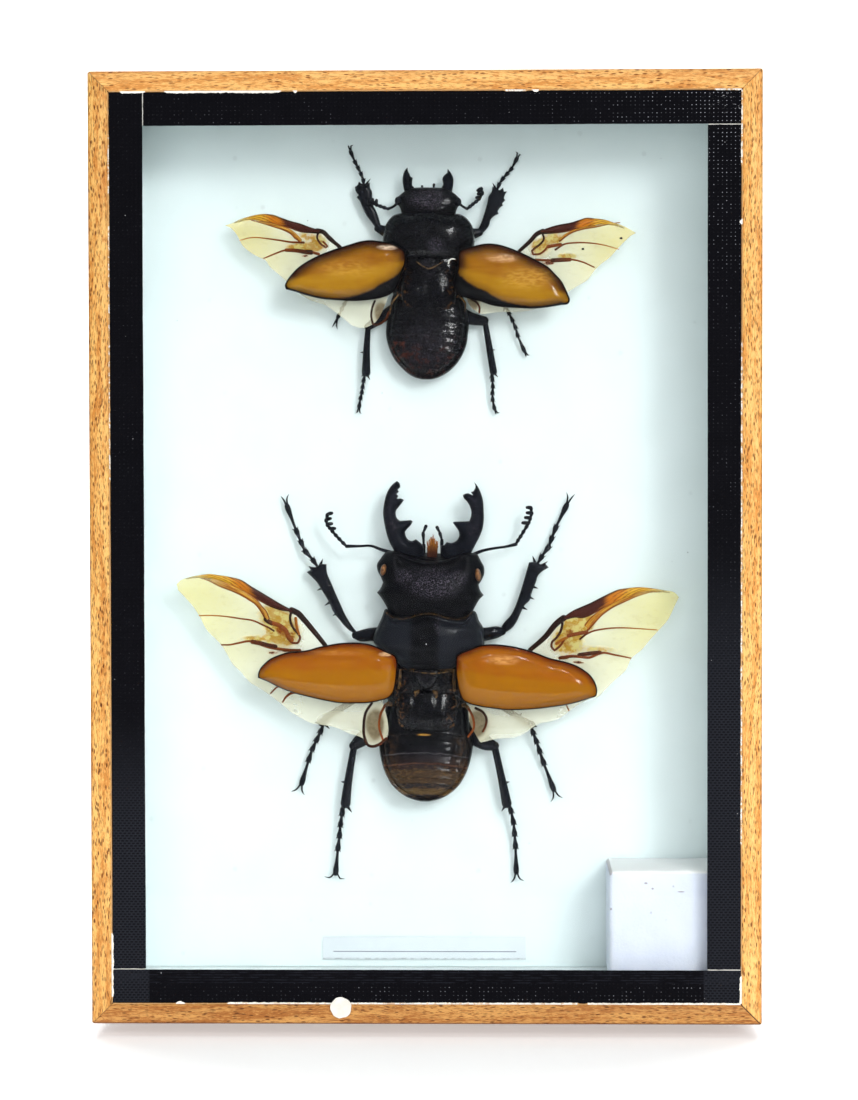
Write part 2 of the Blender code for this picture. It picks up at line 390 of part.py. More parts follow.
def antenna_meshes(name, stations, leaves):
    yield limb_mesh(name, stations)
    for number, tip in enumerate(leaves):
        root, height = nearest_on(stations, tip)
        yield limb_mesh(f"{name}_leaf_{number}", [(*root, height, 0.3), (*tip, height, 0.22)], THIN_SIDES, 1.4)


def eye_mesh(name, place, radii):
    bm = bmesh.new()
    bmesh.ops.create_icosphere(bm, subdivisions=1, radius=1.0, matrix=Matrix.LocRotScale(place, None, radii))
    return mesh_from(bm, name)


def plate_mesh(name, corners, low, high):
    """A flat plate of a few corners, such as a scutellum."""
    return mesh_from(sweep(bmesh.new(), [[(x, y, height) for x, y in corners] for height in (low, high)]), name)


def mirrored(stations, middle):
    return [(2 * middle - x, y, height, radius) for x, y, height, radius in stations]


def placed(thing, place):
    """Turns a beetle's millimetres into the case's metres: heights go forward from the white board."""
    across, up, lean = place
    to_case = (Matrix.Translation((across, BOARD_Y, up)) @ Matrix.Rotation(math.radians(lean), 4, "Y").inverted()
               @ Matrix(((MM, 0, 0, 0), (0, 0, -MM, 0), (0, MM, 0, 0), (0, 0, 0, 1))))
    thing.data.transform(to_case)
    return thing


def fused(name, meshes, look, place):
    """Unites overlapping solids in one named solid."""
    meshes = list(meshes)
    base = bpy.data.objects.new(name, meshes[0])
    bpy.context.scene.collection.objects.link(base)
    operands = bpy.data.collections.new(name + "_parts")
    bpy.context.scene.collection.children.link(operands)
    for mesh in meshes[1:]:
        operands.objects.link(bpy.data.objects.new(mesh.name, mesh))
    union = base.modifiers.new("unite", "BOOLEAN")
    union.operation = "UNION"
    union.solver = "EXACT"
    union.operand_type = "COLLECTION"
    union.collection = operands
    bpy.context.view_layer.update()
    evaluated = base.evaluated_get(bpy.context.evaluated_depsgraph_get())
    united = bpy.data.meshes.new_from_object(evaluated)
    for part in [*operands.objects, base]:
        bpy.data.objects.remove(part)
    bpy.data.collections.remove(operands)
    return placed(finish_object(name, united, look), place)


def beetle_body(name, sections, mandible, blade, blade_heights, middle, mouth, antennae, eye, scutellum, legs, look,
                place):
    """Head, pronotum, thorax and abdomen with the mandibles, mouth, antennae, eyes and legs grown on them."""
    meshes = [body_mesh(f"{name}_section_{number}", stations) for number, stations in enumerate(sections)]
    for side, shaped in (("right", lambda stations: stations), ("left", lambda stations: mirrored(stations, middle))):
        meshes.append(limb_mesh(f"{name}_mandible_{side}", shaped(mandible), 6))
        outline = [(x, y) for x, y, _, _ in shaped([(x, y, 0, 0) for x, y in blade])]
        meshes.append(plate_mesh(f"{name}_blade_{side}", outline, *blade_heights))
    for number, stations in enumerate(mouth):
        meshes.append(limb_mesh(f"{name}_mouth_{number}", stations))
    for number, (stations, leaves) in enumerate(antennae):
        meshes.extend(antenna_meshes(f"{name}_antenna_{number}", stations, leaves))
    eye_place, eye_radii = eye
    for sign in (-1, 1):
        spot = Vector((sign * eye_place[0] + middle, eye_place[1], eye_place[2]))
        meshes.append(eye_mesh(f"{name}_eye_{sign}", spot, Vector(eye_radii)))
    corners, low, high = scutellum
    meshes.append(plate_mesh(name + "_scutellum", corners, low, high))
    for leg_name, leg in legs.items():
        meshes.extend(leg_meshes(f"{name}_{leg_name}", leg))
    return fused(name, meshes, look, place)


def wing_rings(outline, lie, shares):
    """Rings from the middle of the underside out to the rim and back over the top."""
    root_height, tip_height, crown, thickness = lie
    reach = [abs(x) for x, _ in outline]
    near, far = min(reach), max(reach)
    side = math.copysign(1, outline[0][0])
    tip = max(outline, key=lambda point: abs(point[0]))
    root = (side * near, sum(y for x, y in outline if abs(x) < near + 3) / sum(1 for x, _ in outline
                                                                           if abs(x) < near + 3))
    start, end = Vector(root).lerp(Vector(tip), 0.2), Vector(root).lerp(Vector(tip), 0.8)

    def ring(share, lift):
        points = []
        for x, y in outline:
            p = Vector((x, y))
            along = max(0.0, min(1.0, (p - start).dot(end - start) / (end - start).length_squared))
            middle = start.lerp(end, along)
            spot = middle.lerp(p, share)
            base = root_height + (tip_height - root_height) * (abs(spot.x) - near) / (far - near)
            points.append((spot.x, spot.y, base + crown * (1 - share ** 2) + lift))
        return points

    under = [ring(share, -thickness / 2) for share in reversed(shares)]
    over = [ring(share, thickness / 2) for share in shares]
    return under + over


def elytron(name, outline, lie, look, place):
    """A hard wing case: a thin shell, domed along its middle."""
    mesh = mesh_from(sweep(bmesh.new(), wing_rings(outline, lie, (1.0, 0.66, 0.2))), name)
    return placed(finish_object(name, mesh, look), place)


def hindwing(name, outline, ribs, lie, look, place):
    """A membrane with its strongest ribs."""
    root_height, tip_height, crown, _ = lie
    far = max(abs(x) for x, _ in outline)
    near = min(abs(x) for x, _ in outline)
    meshes = [mesh_from(sweep(bmesh.new(), wing_rings(outline, lie, (1.0, 0.36))), name)]
    for number, rib in enumerate(ribs):
        stations = []
        for x, y, radius in rib:
            height = root_height + (tip_height - root_height) * (abs(x) - near) / (far - near) + crown / 2
            stations.append((x, y, height, radius))
        meshes.append(limb_mesh(f"{name}_rib_{number}", stations, THIN_SIDES, 1.0))
    return fused(name, meshes, look, place)


def rail(name, length, place, turn):
    """One rail of the case, rebated for the glass in front and for the back board, mitred at both ends."""
    profile = [(0.0, 0.0), (0.0, RAIL_LIP), (LEDGE_DEPTH, RAIL_LIP), (LEDGE_DEPTH, RAIL_WALL),
               (CASE_DEPTH - BACK_BOARD_THICKNESS - GAP, RAIL_WALL), (CASE_DEPTH - BACK_BOARD_THICKNESS - GAP, RAIL_LIP),
               (CASE_DEPTH, RAIL_LIP), (CASE_DEPTH, 0.0)]

    def end(sign):
        mitre_gap = GAP / 2 * math.sqrt(2)
        return [(sign * (length / 2 - inward - mitre_gap), FRONT_Y + depth, inward) for depth, inward in profile]

    bm = sweep(bmesh.new(), [end(-1), end(1)])
    outer = [edge for edge in bm.edges if all(abs(vert.co.z) < 1e-7 for vert in edge.verts)
             and abs(edge.verts[0].co.y - edge.verts[1].co.y) < 1e-7]
    bmesh.ops.bevel(bm, geom=outer, offset=RAIL_EDGE_ROUND, segments=2, profile=0.5, affect="EDGES", material=-1)
    mesh = mesh_from(bm, name)
    mesh.transform(Matrix.Translation(place) @ Matrix.Rotation(math.radians(turn), 4, "Y"))
    return finish_object(name, mesh, WOOD, 30)


def make_case():
    middle = CASE_HEIGHT / 2
    rail("bottom_rail", CASE_WIDTH, (0, 0, 0), 0)
    rail("top_rail", CASE_WIDTH, (0, 0, CASE_HEIGHT), 180)
    rail("left_rail", CASE_HEIGHT, (-HALF_WIDTH, 0, middle), 90)
    rail("right_rail", CASE_HEIGHT, (HALF_WIDTH, 0, middle), -90)
    edge = RAIL_LIP + GAP
    glass_front = FRONT_Y + TAPE_RECESS + TAPE_THICKNESS + GAP
    box("glass_pane", (-HALF_WIDTH + edge, glass_front, edge),
        (HALF_WIDTH - edge, glass_front + GLASS_THICKNESS, CASE_HEIGHT - edge), GLASS)
    wall = RAIL_WALL + GAP
    box("white_mounting_board", (-HALF_WIDTH + wall, BOARD_Y, wall),
        (HALF_WIDTH - wall, BACK_BOARD_Y - GAP, CASE_HEIGHT - wall), WHITE_BOARD)
    box("back_board", (-HALF_WIDTH + edge, BACK_BOARD_Y, edge), (HALF_WIDTH - edge, BACK_Y, CASE_HEIGHT - edge),
        BACK_BOARD)


def make_tape():
    """Four strips stuck round the edge of the glass, butted at the corners."""
    near, far = FRONT_Y + TAPE_RECESS, FRONT_Y + TAPE_RECESS + TAPE_THICKNESS
    outer = RAIL_LIP + GAP
    inner = outer + TAPE_WIDTH
    left, right, top = -HALF_WIDTH, HALF_WIDTH, CASE_HEIGHT
    box("left_tape", (left + outer, near, inner + GAP), (left + inner, far, top - outer), TAPE)
    box("top_tape", (left + inner + GAP, near, top - inner), (right - outer, far, top - outer), TAPE)
    box("right_tape", (right - inner, near, inner + GAP), (right - outer, far, top - inner - GAP), TAPE)
    box("bottom_tape", (left + outer, near, outer), (right - outer, far, inner), TAPE)


def make_fittings():
    """The foam block in the corner, the label slip on the board and the dab on the bottom rail."""
    wall = RAIL_WALL + GAP
    box("corner_foam_block", (BLOCK_LEFT, FRONT_Y + BLOCK_FRONT_DEPTH, wall),
        (HALF_WIDTH - wall, BOARD_Y - GAP, BLOCK_TOP), BLOCK_FOAM, BLOCK_ROUND, 3)
    across, up = LABEL_CENTRE
    width, height = LABEL_SIZE
    box("label_slip", (across - width / 2, BOARD_Y - GAP - LABEL_THICKNESS, up - height / 2),
        (across + width / 2, BOARD_Y - GAP, up + height / 2), LABEL_PAPER)
    bm = bmesh.new()
    lie = Matrix.Translation((DAB_CENTRE[0], FRONT_Y - GAP - DAB_THICKNESS / 2, DAB_CENTRE[1]))
    bmesh.ops.create_cone(bm, cap_ends=True, segments=18, radius1=DAB_DIAMETER / 2, radius2=DAB_DIAMETER / 2,
                          depth=DAB_THICKNESS, matrix=lie @ Matrix.Rotation(math.pi / 2, 4, "X"))
    finish_object("white_dab", mesh_from(bm, "white_dab"), DAB_WHITE)


def make_male():
    beetle_body("male_beetle", (MALE_HEAD, MALE_PRONOTUM, MALE_THORAX, MALE_ABDOMEN), MALE_MANDIBLE,
                MALE_MANDIBLE_BLADE, (6.1, 8.0), 0.4, MALE_MOUTH, MALE_ANTENNAE, ((10.7, 21.3, 9.2), (1.2, 1.6, 1.7)),
                ([(-3.2, -0.2), (3.0, -0.1), (0.0, -4.9)], 10.6, 12.6), MALE_LEGS, SHELL_BLACK, MALE_PLACE)
    elytron("male_left_elytron", MALE_ELYTRON_LEFT, MALE_ELYTRON_LIE, ELYTRON_BROWN, MALE_PLACE)
    elytron("male_right_elytron", MALE_ELYTRON_RIGHT, MALE_ELYTRON_LIE, ELYTRON_BROWN, MALE_PLACE)
    hindwing("male_left_hindwing", MALE_HINDWING_LEFT, MALE_RIBS_LEFT, MALE_HINDWING_LIE, WING_MEMBRANE, MALE_PLACE)
    hindwing("male_right_hindwing", MALE_HINDWING_RIGHT, MALE_RIBS_RIGHT, MALE_HINDWING_LIE, WING_MEMBRANE,
             MALE_PLACE)


def make_female():
    beetle_body("female_beetle", (FEMALE_HEAD, FEMALE_PRONOTUM, FEMALE_THORAX, FEMALE_ABDOMEN), FEMALE_MANDIBLE,
                FEMALE_MANDIBLE_BLADE, (4.2, 5.6), -0.2, FEMALE_MOUTH, FEMALE_ANTENNAE,
                ((6.6, 12.7, 5.9), (0.9, 1.0, 1.1)),
                ([(-3.0, -0.4), (2.8, -0.4), (0.0, -2.9)], 8.0, 9.6), FEMALE_LEGS, SHELL_BLACK, FEMALE_PLACE)
    elytron("female_left_elytron", FEMALE_ELYTRON_LEFT, FEMALE_ELYTRON_LIE, ELYTRON_OCHRE, FEMALE_PLACE)
    elytron("female_right_elytron", FEMALE_ELYTRON_RIGHT, FEMALE_ELYTRON_LIE, ELYTRON_OCHRE, FEMALE_PLACE)
    hindwing("female_left_hindwing", FEMALE_HINDWING_LEFT, FEMALE_RIBS_LEFT, FEMALE_HINDWING_LIE, WING_MEMBRANE,
             FEMALE_PLACE)
    hindwing("female_right_hindwing", FEMALE_HINDWING_RIGHT, FEMALE_RIBS_RIGHT, FEMALE_HINDWING_LIE, WING_MEMBRANE,
             FEMALE_PLACE)


make_case()
make_tape()
make_fittings()
make_male()
make_female()
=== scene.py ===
"""The looks of two stag beetles, wings spread, mounted in a shallow wooden case with a glass front.

Metres, +Z up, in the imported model's frame: the glass faces -Y. Each beetle is drawn in millimetres on the
mounting board: x to the right, y towards its head from the hind edge of its pronotum, and z as the height
off the board. A beetle's meshes keep those millimetres in their "spot" attribute, which its materials read.
"""

import math
import random

import bmesh
import bpy
from mathutils import Matrix, Vector, kdtree, noise


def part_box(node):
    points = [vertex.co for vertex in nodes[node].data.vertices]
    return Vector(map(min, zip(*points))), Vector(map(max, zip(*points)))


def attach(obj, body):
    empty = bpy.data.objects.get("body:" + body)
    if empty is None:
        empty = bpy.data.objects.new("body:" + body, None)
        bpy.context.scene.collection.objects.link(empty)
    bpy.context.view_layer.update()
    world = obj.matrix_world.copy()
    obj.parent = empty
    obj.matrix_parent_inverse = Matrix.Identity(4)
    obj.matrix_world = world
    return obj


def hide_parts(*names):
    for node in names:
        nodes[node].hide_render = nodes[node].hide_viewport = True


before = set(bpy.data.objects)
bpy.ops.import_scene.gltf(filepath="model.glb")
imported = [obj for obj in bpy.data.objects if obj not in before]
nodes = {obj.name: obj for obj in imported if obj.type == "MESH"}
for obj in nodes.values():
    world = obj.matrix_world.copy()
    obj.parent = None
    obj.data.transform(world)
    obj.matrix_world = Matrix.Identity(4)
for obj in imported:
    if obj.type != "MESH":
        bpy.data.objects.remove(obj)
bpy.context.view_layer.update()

for name in ("Cube", "Light", "Camera"):
    if name in bpy.data.objects:
        bpy.data.objects.remove(bpy.data.objects[name])

MM = 0.001
BODY = "root"

BOARD_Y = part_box("white_mounting_board")[0].y
# Each beetle's place: across and up the case in millimetres, and its lean in degrees.
PLACES = {"male": (0.0, 77.6, -1.5), "female": (0.3, 170.3, -0.5)}
# The half widths of a foot's segments at their necks and at their knots.
FOOT_SIZES = {"male": (0.3, 0.66), "female": (0.23, 0.5)}
FOOT_HEIGHT = 1.7


# ---------------------------------------------------------------- curves and shapes

def ease(value, low, high):
    """0 below low, 1 above high, and a soft step between them."""
    share = max(0.0, min(1.0, (value - low) / (high - low)))
    return share * share * (3 - 2 * share)


def hump(value, centre, width):
    """1 at the centre, fading away on both sides."""
    return math.exp(-((value - centre) / width) ** 2)


def grain(point, size):
    """Smooth noise from -1 to 1, with lumps of about that size."""
    return noise.noise(Vector(point) / size)


def smooth(points, spacing, closed=False, corner=55):
    """Points along a smooth curve through given ones; a turn sharper than corner degrees stays sharp."""
    points = [Vector(point) for point in points]
    count = len(points)
    arriving, leaving = [], []
    for number in range(count):
        before = points[number] - points[number - 1] if closed or number else None
        after = points[(number + 1) % count] - points[number] if closed or number < count - 1 else None
        before, after = before or after, after or before
        a, b = before.length, after.length
        if before.dot(after) < a * b * math.cos(math.radians(corner)):
            arriving.append(before / a)
            leaving.append(after / b)
        else:
            tangent = (after * (a / b) + before * (b / a)) / (a + b)
            arriving.append(tangent)
            leaving.append(tangent)
    curve = []
    for number in range(count if closed else count - 1):
        start, end = points[number], points[(number + 1) % count]
        length = (end - start).length
        steps = max(1, round(length / spacing))
        for step in range(steps):
            t = step / steps
            curve.append(start * (2 * t ** 3 - 3 * t ** 2 + 1) + end * (3 * t ** 2 - 2 * t ** 3)
                         + leaving[number] * length * (t ** 3 - 2 * t ** 2 + t)
                         + arriving[(number + 1) % count] * length * (t ** 3 - t ** 2))
    if not closed:
        curve.append(points[-1])
    return curve


def spread(points, count):
    """The same line as count evenly spaced points."""
    reach = [0.0]
    for start, end in zip(points, points[1:]):
        reach.append(reach[-1] + (end - start).length)
    result, number = [], 0
    for step in range(count):
        goal = reach[-1] * step / (count - 1)
        while number < len(points) - 2 and reach[number + 1] < goal:
            number += 1
        span = reach[number + 1] - reach[number]
        result.append(points[number].lerp(points[number + 1], min(1.0, (goal - reach[number]) / span)))
    return result


def sweep(bm, rings):
    """A closed solid through a row of rings, each a loop of points, with flat ends."""
    verts = bmesh.ops.create_circle(bm, cap_ends=True, radius=1.0, segments=len(rings[0]))["verts"]
    face = verts[0].link_faces[0]
    for vert, point in zip(face.verts, rings[0]):
        vert.co = point
    for number, ring in enumerate(rings[1:]):
        grown = bmesh.ops.extrude_face_region(bm, geom=[face], use_keep_orig=True)["geom"]
        if number:
            bmesh.ops.delete(bm, geom=[face], context="FACES_ONLY")
        face = next(part for part in grown if isinstance(part, bmesh.types.BMFace))
        for vert, point in zip(face.verts, ring):
            vert.co = point
    return bm


def limb(bm, stations, spacing=0.45, sides=12, flatness=0.85):
    """A rounded limb through (x, y, z, half width), with domed ends."""
    stations = smooth([(*station[:3], station[3] * 2) for station in stations], spacing)
    points = [station.to_3d() if len(station) == 3 else Vector(station[:3]) for station in stations]
    first, last = (points[1] - points[0]).normalized(), (points[-1] - points[-2]).normalized()
    dome = ((0.35, 0.93), (0.7, 0.7), (0.9, 0.35))
    run = [(points[0] - first * stations[0][3] * 0.5 * back, first, stations[0][3] / 2 * share)
           for back, share in reversed(dome)]
    for number, point in enumerate(points):
        along = points[min(number + 1, len(points) - 1)] - points[max(number - 1, 0)]
        run.append((point, along.normalized(), stations[number][3] / 2))
    run += [(points[-1] + last * stations[-1][3] * 0.5 * ahead, last, stations[-1][3] / 2 * share)
            for ahead, share in dome]
    rings = []
    for point, along, half_width in run:
        side = along.cross(Vector((0, 0, 1))).normalized()
        up = side.cross(along).normalized()
        rings.append([point + half_width * (side * math.cos(turn) + up * math.sin(turn) * flatness)
                      for turn in (2 * math.pi * step / sides for step in range(sides))])
    return sweep(bm, rings)


def spine(bm, root, tip, height, radius=0.32, drop=0.0, sides=7):
    """A thorn from a limb's middle line to its tip."""
    start, end = Vector((*root, height)), Vector((*tip, height - drop))
    middle = start.lerp(end, 0.55)
    limb(bm, [(*start, radius), (*middle, radius * 0.62), (*end, 0.05)], 0.5, sides, 1.0)


def knotted(bm, joints, start_height, end_height, neck, knot, sides=10):
    """A foot or feeler of segments, each thin at its root and swollen at its end."""
    shape = ((0.02, neck), (0.3, neck * 1.1), (0.62, (neck + knot) / 2), (0.88, knot), (1.0, knot * 0.9))
    for number, (start, end) in enumerate(zip(joints, joints[1:])):
        stations = []
        for share, radius in shape:
            spot = Vector(start).lerp(Vector(end), share)
            height = start_height + (end_height - start_height) * (number + share) / (len(joints) - 1)
            stations.append((spot.x, spot.y, height, radius))
        limb(bm, stations, 0.4, sides, 0.95)


def body_section(bm, stations, squareness, belly, sides=104):
    """A body section through (y, left, right, underside, top)."""
    rings = []
    for y, left, right, low, high in smooth(stations, 0.24):
        middle, level = (left + right) / 2, low + belly * (high - low)
        ring = []
        for step in range(sides):
            turn = 2 * math.pi * step / sides
            across, up = math.cos(turn), math.sin(turn)
            height = high - level if up > 0 else level - low
            ring.append((middle + (right - left) / 2 * math.copysign(abs(across) ** (2 / squareness), across), y,
                         level + height * math.copysign(abs(up) ** (2 / squareness), up)))
        rings.append(ring)
    return sweep(bm, rings)


def tree_of(outline, spacing=0.12):
    """A look-up of the points along a closed outline."""
    dense = []
    for start, end in zip(outline, [*outline[1:], outline[0]]):
        steps = max(1, round((end - start).length / spacing))
        dense += [start.lerp(end, step / steps) for step in range(steps)]
    tree = kdtree.KDTree(len(dense))
    for number, point in enumerate(dense):
        tree.insert((point.x, point.y, 0.0), number)
    tree.balance()
    return tree


def edge_distance(tree, x, y):
    """How far a point lies from an outline, seen from above."""
    return tree.find((x, y, 0.0))[2]


def plate(bm, outline, height, thickness, reach, grid=0.35, spacing=0.3, corner=40, tilt=(0.0, 0.0)):
    """A hard part with that outline, rounded from its edge inwards and the same above and below."""
    outline = smooth(outline, spacing, True, corner)
    own = bmesh.new()
    verts = bmesh.ops.create_circle(own, cap_ends=True, radius=1.0, segments=len(outline))["verts"]
    for vert, point in zip(verts[0].link_faces[0].verts, outline):
        vert.co = (point.x, point.y, 0.0)
    for axis in (0, 1):
        low, high = min(point[axis] for point in outline), max(point[axis] for point in outline)
        normal = Vector((1 - axis, axis, 0))
        for step in range(1, math.ceil((high - low) / grid)):
            bmesh.ops.bisect_plane(own, geom=[*own.verts, *own.edges, *own.faces], dist=1e-5,
                                   plane_co=normal * (low + step * grid), plane_no=normal)
    bmesh.ops.triangulate(own, faces=own.faces)
    tree = tree_of(outline)
    rim = {vert for vert in own.verts if vert.is_boundary}
    for vert in own.verts:
        if vert not in rim:
            share = min(1.0, edge_distance(tree, vert.co.x, vert.co.y) / reach)
            vert.co.z = thickness / 2 * math.sqrt(1 - (1 - share) ** 2)
    bmesh.ops.mirror(own, geom=[*own.verts, *own.edges, *own.faces], axis="Z", merge_dist=1e-4)
    centre = outline[0]
    for vert in own.verts:
        vert.co.z += height + (vert.co.x - centre.x) * tilt[0] + (vert.co.y - centre.y) * tilt[1]
    return join(bm, own)


def join(bm, other):
    """Adds a finished shape to another one."""
    mesh = bpy.data.meshes.new("part")
    other.to_mesh(mesh)
    other.free()
    bm.from_mesh(mesh)
    bpy.data.meshes.remove(mesh)
    return bm


def ellipsoid(bm, centre, radii, subdivisions=4, turn=0.0):
    lie = Matrix.Translation(centre) @ Matrix.Rotation(turn, 4, "Z") @ Matrix.Diagonal((*radii, 1.0))
    bmesh.ops.create_icosphere(bm, subdivisions=subdivisions, radius=1.0, matrix=lie)


def hair(bm, points, radius, sides=4):
    """One thin tapering hair."""
    run = [(*point, radius * (1 - 0.8 * number / (len(points) - 1))) for number, point in enumerate(points)]
    limb(bm, run, 0.6, sides, 1.0)


def raised(bm, lift):
    """Raises or sinks the upper side by lift(x, y) millimetres."""
    bm.normal_update()
    for vert in bm.verts:
        share = ease(vert.normal.z, 0.05, 0.5)
        if share:
            vert.co.z += share * lift(vert.co.x, vert.co.y)
    return bm


def board_matrix(place):
    """Turns a beetle's millimetres into the case's metres."""
    across, up, lean = place
    return (Matrix.Translation((across * MM, BOARD_Y, up * MM)) @ Matrix.Rotation(math.radians(-lean), 4, "Y")
            @ Matrix(((MM, 0, 0, 0), (0, 0, -MM, 0), (0, MM, 0, 0), (0, 0, 0, 1))))


def add_piece(name, bm, look, replaced, place=None, smooth_below=45):
    """Makes a mesh a piece of the case. With a place, its millimetres on the board become the case's metres."""
    bmesh.ops.recalc_face_normals(bm, faces=bm.faces)
    if place:
        layer = bm.verts.layers.float_vector.new("spot")
        for vert in bm.verts:
            vert[layer] = vert.co
    mesh = bpy.data.meshes.new(name)
    bm.to_mesh(mesh)
    bm.free()
    if place:
        mesh.transform(board_matrix(place))
    mesh.materials.append(look)
    mesh.shade_smooth()
    mesh.set_sharp_from_angle(angle=math.radians(smooth_below))
    piece = bpy.data.objects.new(name, mesh)
    bpy.context.scene.collection.objects.link(piece)
    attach(piece, BODY)
    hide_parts(replaced)


def body_part(beetle, part, bm, look, smooth_below=60):
    """Makes a mesh a piece of a beetle's body."""
    add_piece(f"{beetle}_{part}", bm, look, f"{beetle}_beetle", PLACES[beetle], smooth_below)


# ---------------------------------------------------------------- material wiring

class Wiring:
    """Wires a node tree: each call adds a node and gives back one of its outputs."""

    def __init__(self, tree):
        self.tree = tree

    def node(self, kind, inputs=(), out=0, **settings):
        made = self.tree.nodes.new(kind)
        for name, value in settings.items():
            setattr(made, name, value)
        for key, value in dict(inputs).items():
            self.set(made.inputs[key], value)
        return made.outputs[out]

    def set(self, socket, value):
        if isinstance(value, bpy.types.NodeSocket):
            self.tree.links.new(value, socket)
        else:
            socket.default_value = value

    def math(self, operation, *values, clamp=False):
        return self.node("ShaderNodeMath", enumerate(values), operation=operation, use_clamp=clamp)

    def times(self, first, second, clamp=False):
        return self.math("MULTIPLY", first, second, clamp=clamp)

    def plus(self, first, second, clamp=False):
        return self.math("ADD", first, second, clamp=clamp)

    def minus(self, first, second):
        return self.math("SUBTRACT", first, second)

    def most(self, first, second):
        return self.math("MAXIMUM", first, second)

    def size(self, value):
        return self.math("ABSOLUTE", value)

    def madd(self, value, factor, start):
        return self.math("MULTIPLY_ADD", value, factor, start)

    def vector(self, operation, *values, out=0):
        return self.node("ShaderNodeVectorMath", enumerate(values), out, operation=operation)

    def step(self, value, low, high, start=0.0, end=1.0):
        return self.node("ShaderNodeMapRange", {"Value": value, "From Min": low, "From Max": high, "To Min": start,
                                                "To Max": end}, interpolation_type="SMOOTHSTEP")

    def mix(self, share, first, second):
        return self.node("ShaderNodeMix", {0: share, 6: first, 7: second}, 2, data_type="RGBA")

    def noise(self, vector, scale, detail=2.0, roughness=0.5, out=0):
        return self.node("ShaderNodeTexNoise", {"Vector": vector, "Scale": scale, "Detail": detail,
                                                "Roughness": roughness}, out)

    def cells(self, vector, scale, out="Distance", feature="F1"):
        return self.node("ShaderNodeTexVoronoi", {"Vector": vector, "Scale": scale}, out, feature=feature)

    def xyz(self, vector):
        made = self.tree.nodes.new("ShaderNodeSeparateXYZ")
        self.set(made.inputs[0], vector)
        return made.outputs

    def attribute(self, name, out="Fac"):
        return self.node("ShaderNodeAttribute", out=out, attribute_name=name)

    def millimetres(self):
        """Object coordinates in millimetres."""
        return self.scaled(self.node("ShaderNodeTexCoord", out="Object"), 1000.0)

    def scaled(self, vector, scale):
        return self.node("ShaderNodeVectorMath", {0: vector, "Scale": scale}, operation="SCALE")

    def patch(self, spot, centre, radii, soft=0.5):
        """1 inside an ellipse on the board, fading to 0 at its edge."""
        shares = (1 / radii[0], 1 / radii[1], 0.0)
        offset = (-centre[0] / radii[0], -centre[1] / radii[1], 0.0)
        reach = self.vector("LENGTH", self.vector("MULTIPLY_ADD", spot, shares, offset), out="Value")
        return self.step(reach, 1.0, 1.0 - soft)

    def stretched(self, vector, scale):
        return self.vector("MULTIPLY", vector, scale)

    def group(self, tree, inputs, out):
        made = self.tree.nodes.new("ShaderNodeGroup")
        made.node_tree = tree
        for key, value in inputs.items():
            self.set(made.inputs[key], value)
        return made.outputs[out] if isinstance(out, str) else [made.outputs[name] for name in out]


def effect(name, inputs, outputs, wire):
    """A shader node group: inputs and outputs are (label, kind, value), and wire(w, into) gives the outputs."""
    tree = bpy.data.node_groups.new(name, "ShaderNodeTree")
    for label, kind, value in inputs:
        socket = tree.interface.new_socket(label, in_out="INPUT", socket_type="NodeSocket" + kind)
        if value is not None:
            socket.default_value = value
    for label, kind in outputs:
        tree.interface.new_socket(label, in_out="OUTPUT", socket_type="NodeSocket" + kind)
    w = Wiring(tree)
    into, out = tree.nodes.new("NodeGroupInput"), tree.nodes.new("NodeGroupOutput")
    for (label, _), value in zip(outputs, wire(w, into.outputs)):
        w.set(out.inputs[label], value)
    return tree


def colour(red, green, blue):
    """A linear colour from the 0 to 255 numbers of a paint chart."""
    def linear(value):
        share = value / 255
        return share / 12.92 if share <= 0.04045 else ((share + 0.055) / 1.055) ** 2.4
    return (linear(red), linear(green), linear(blue), 1.0)


def finish(name, wire, **plain):
    """A material: wire(w) gives the sockets that vary, and plain ones are set on the shader."""
    look = bpy.data.materials.new(name)
    look.use_nodes = True
    w = Wiring(look.node_tree)
    shader = look.node_tree.nodes["Principled BSDF"]
    for label, value in plain.items():
        shader.inputs[label.replace("_", " ")].default_value = value
    for label, value in wire(w).items():
        if label == "Height":
            height, strength, distance = value
            value = w.node("ShaderNodeBump", {"Height": height, "Strength": strength, "Distance": distance})
            label = "Normal"
        w.set(shader.inputs[label], value)
    return look


# ---------------------------------------------------------------- shared effects

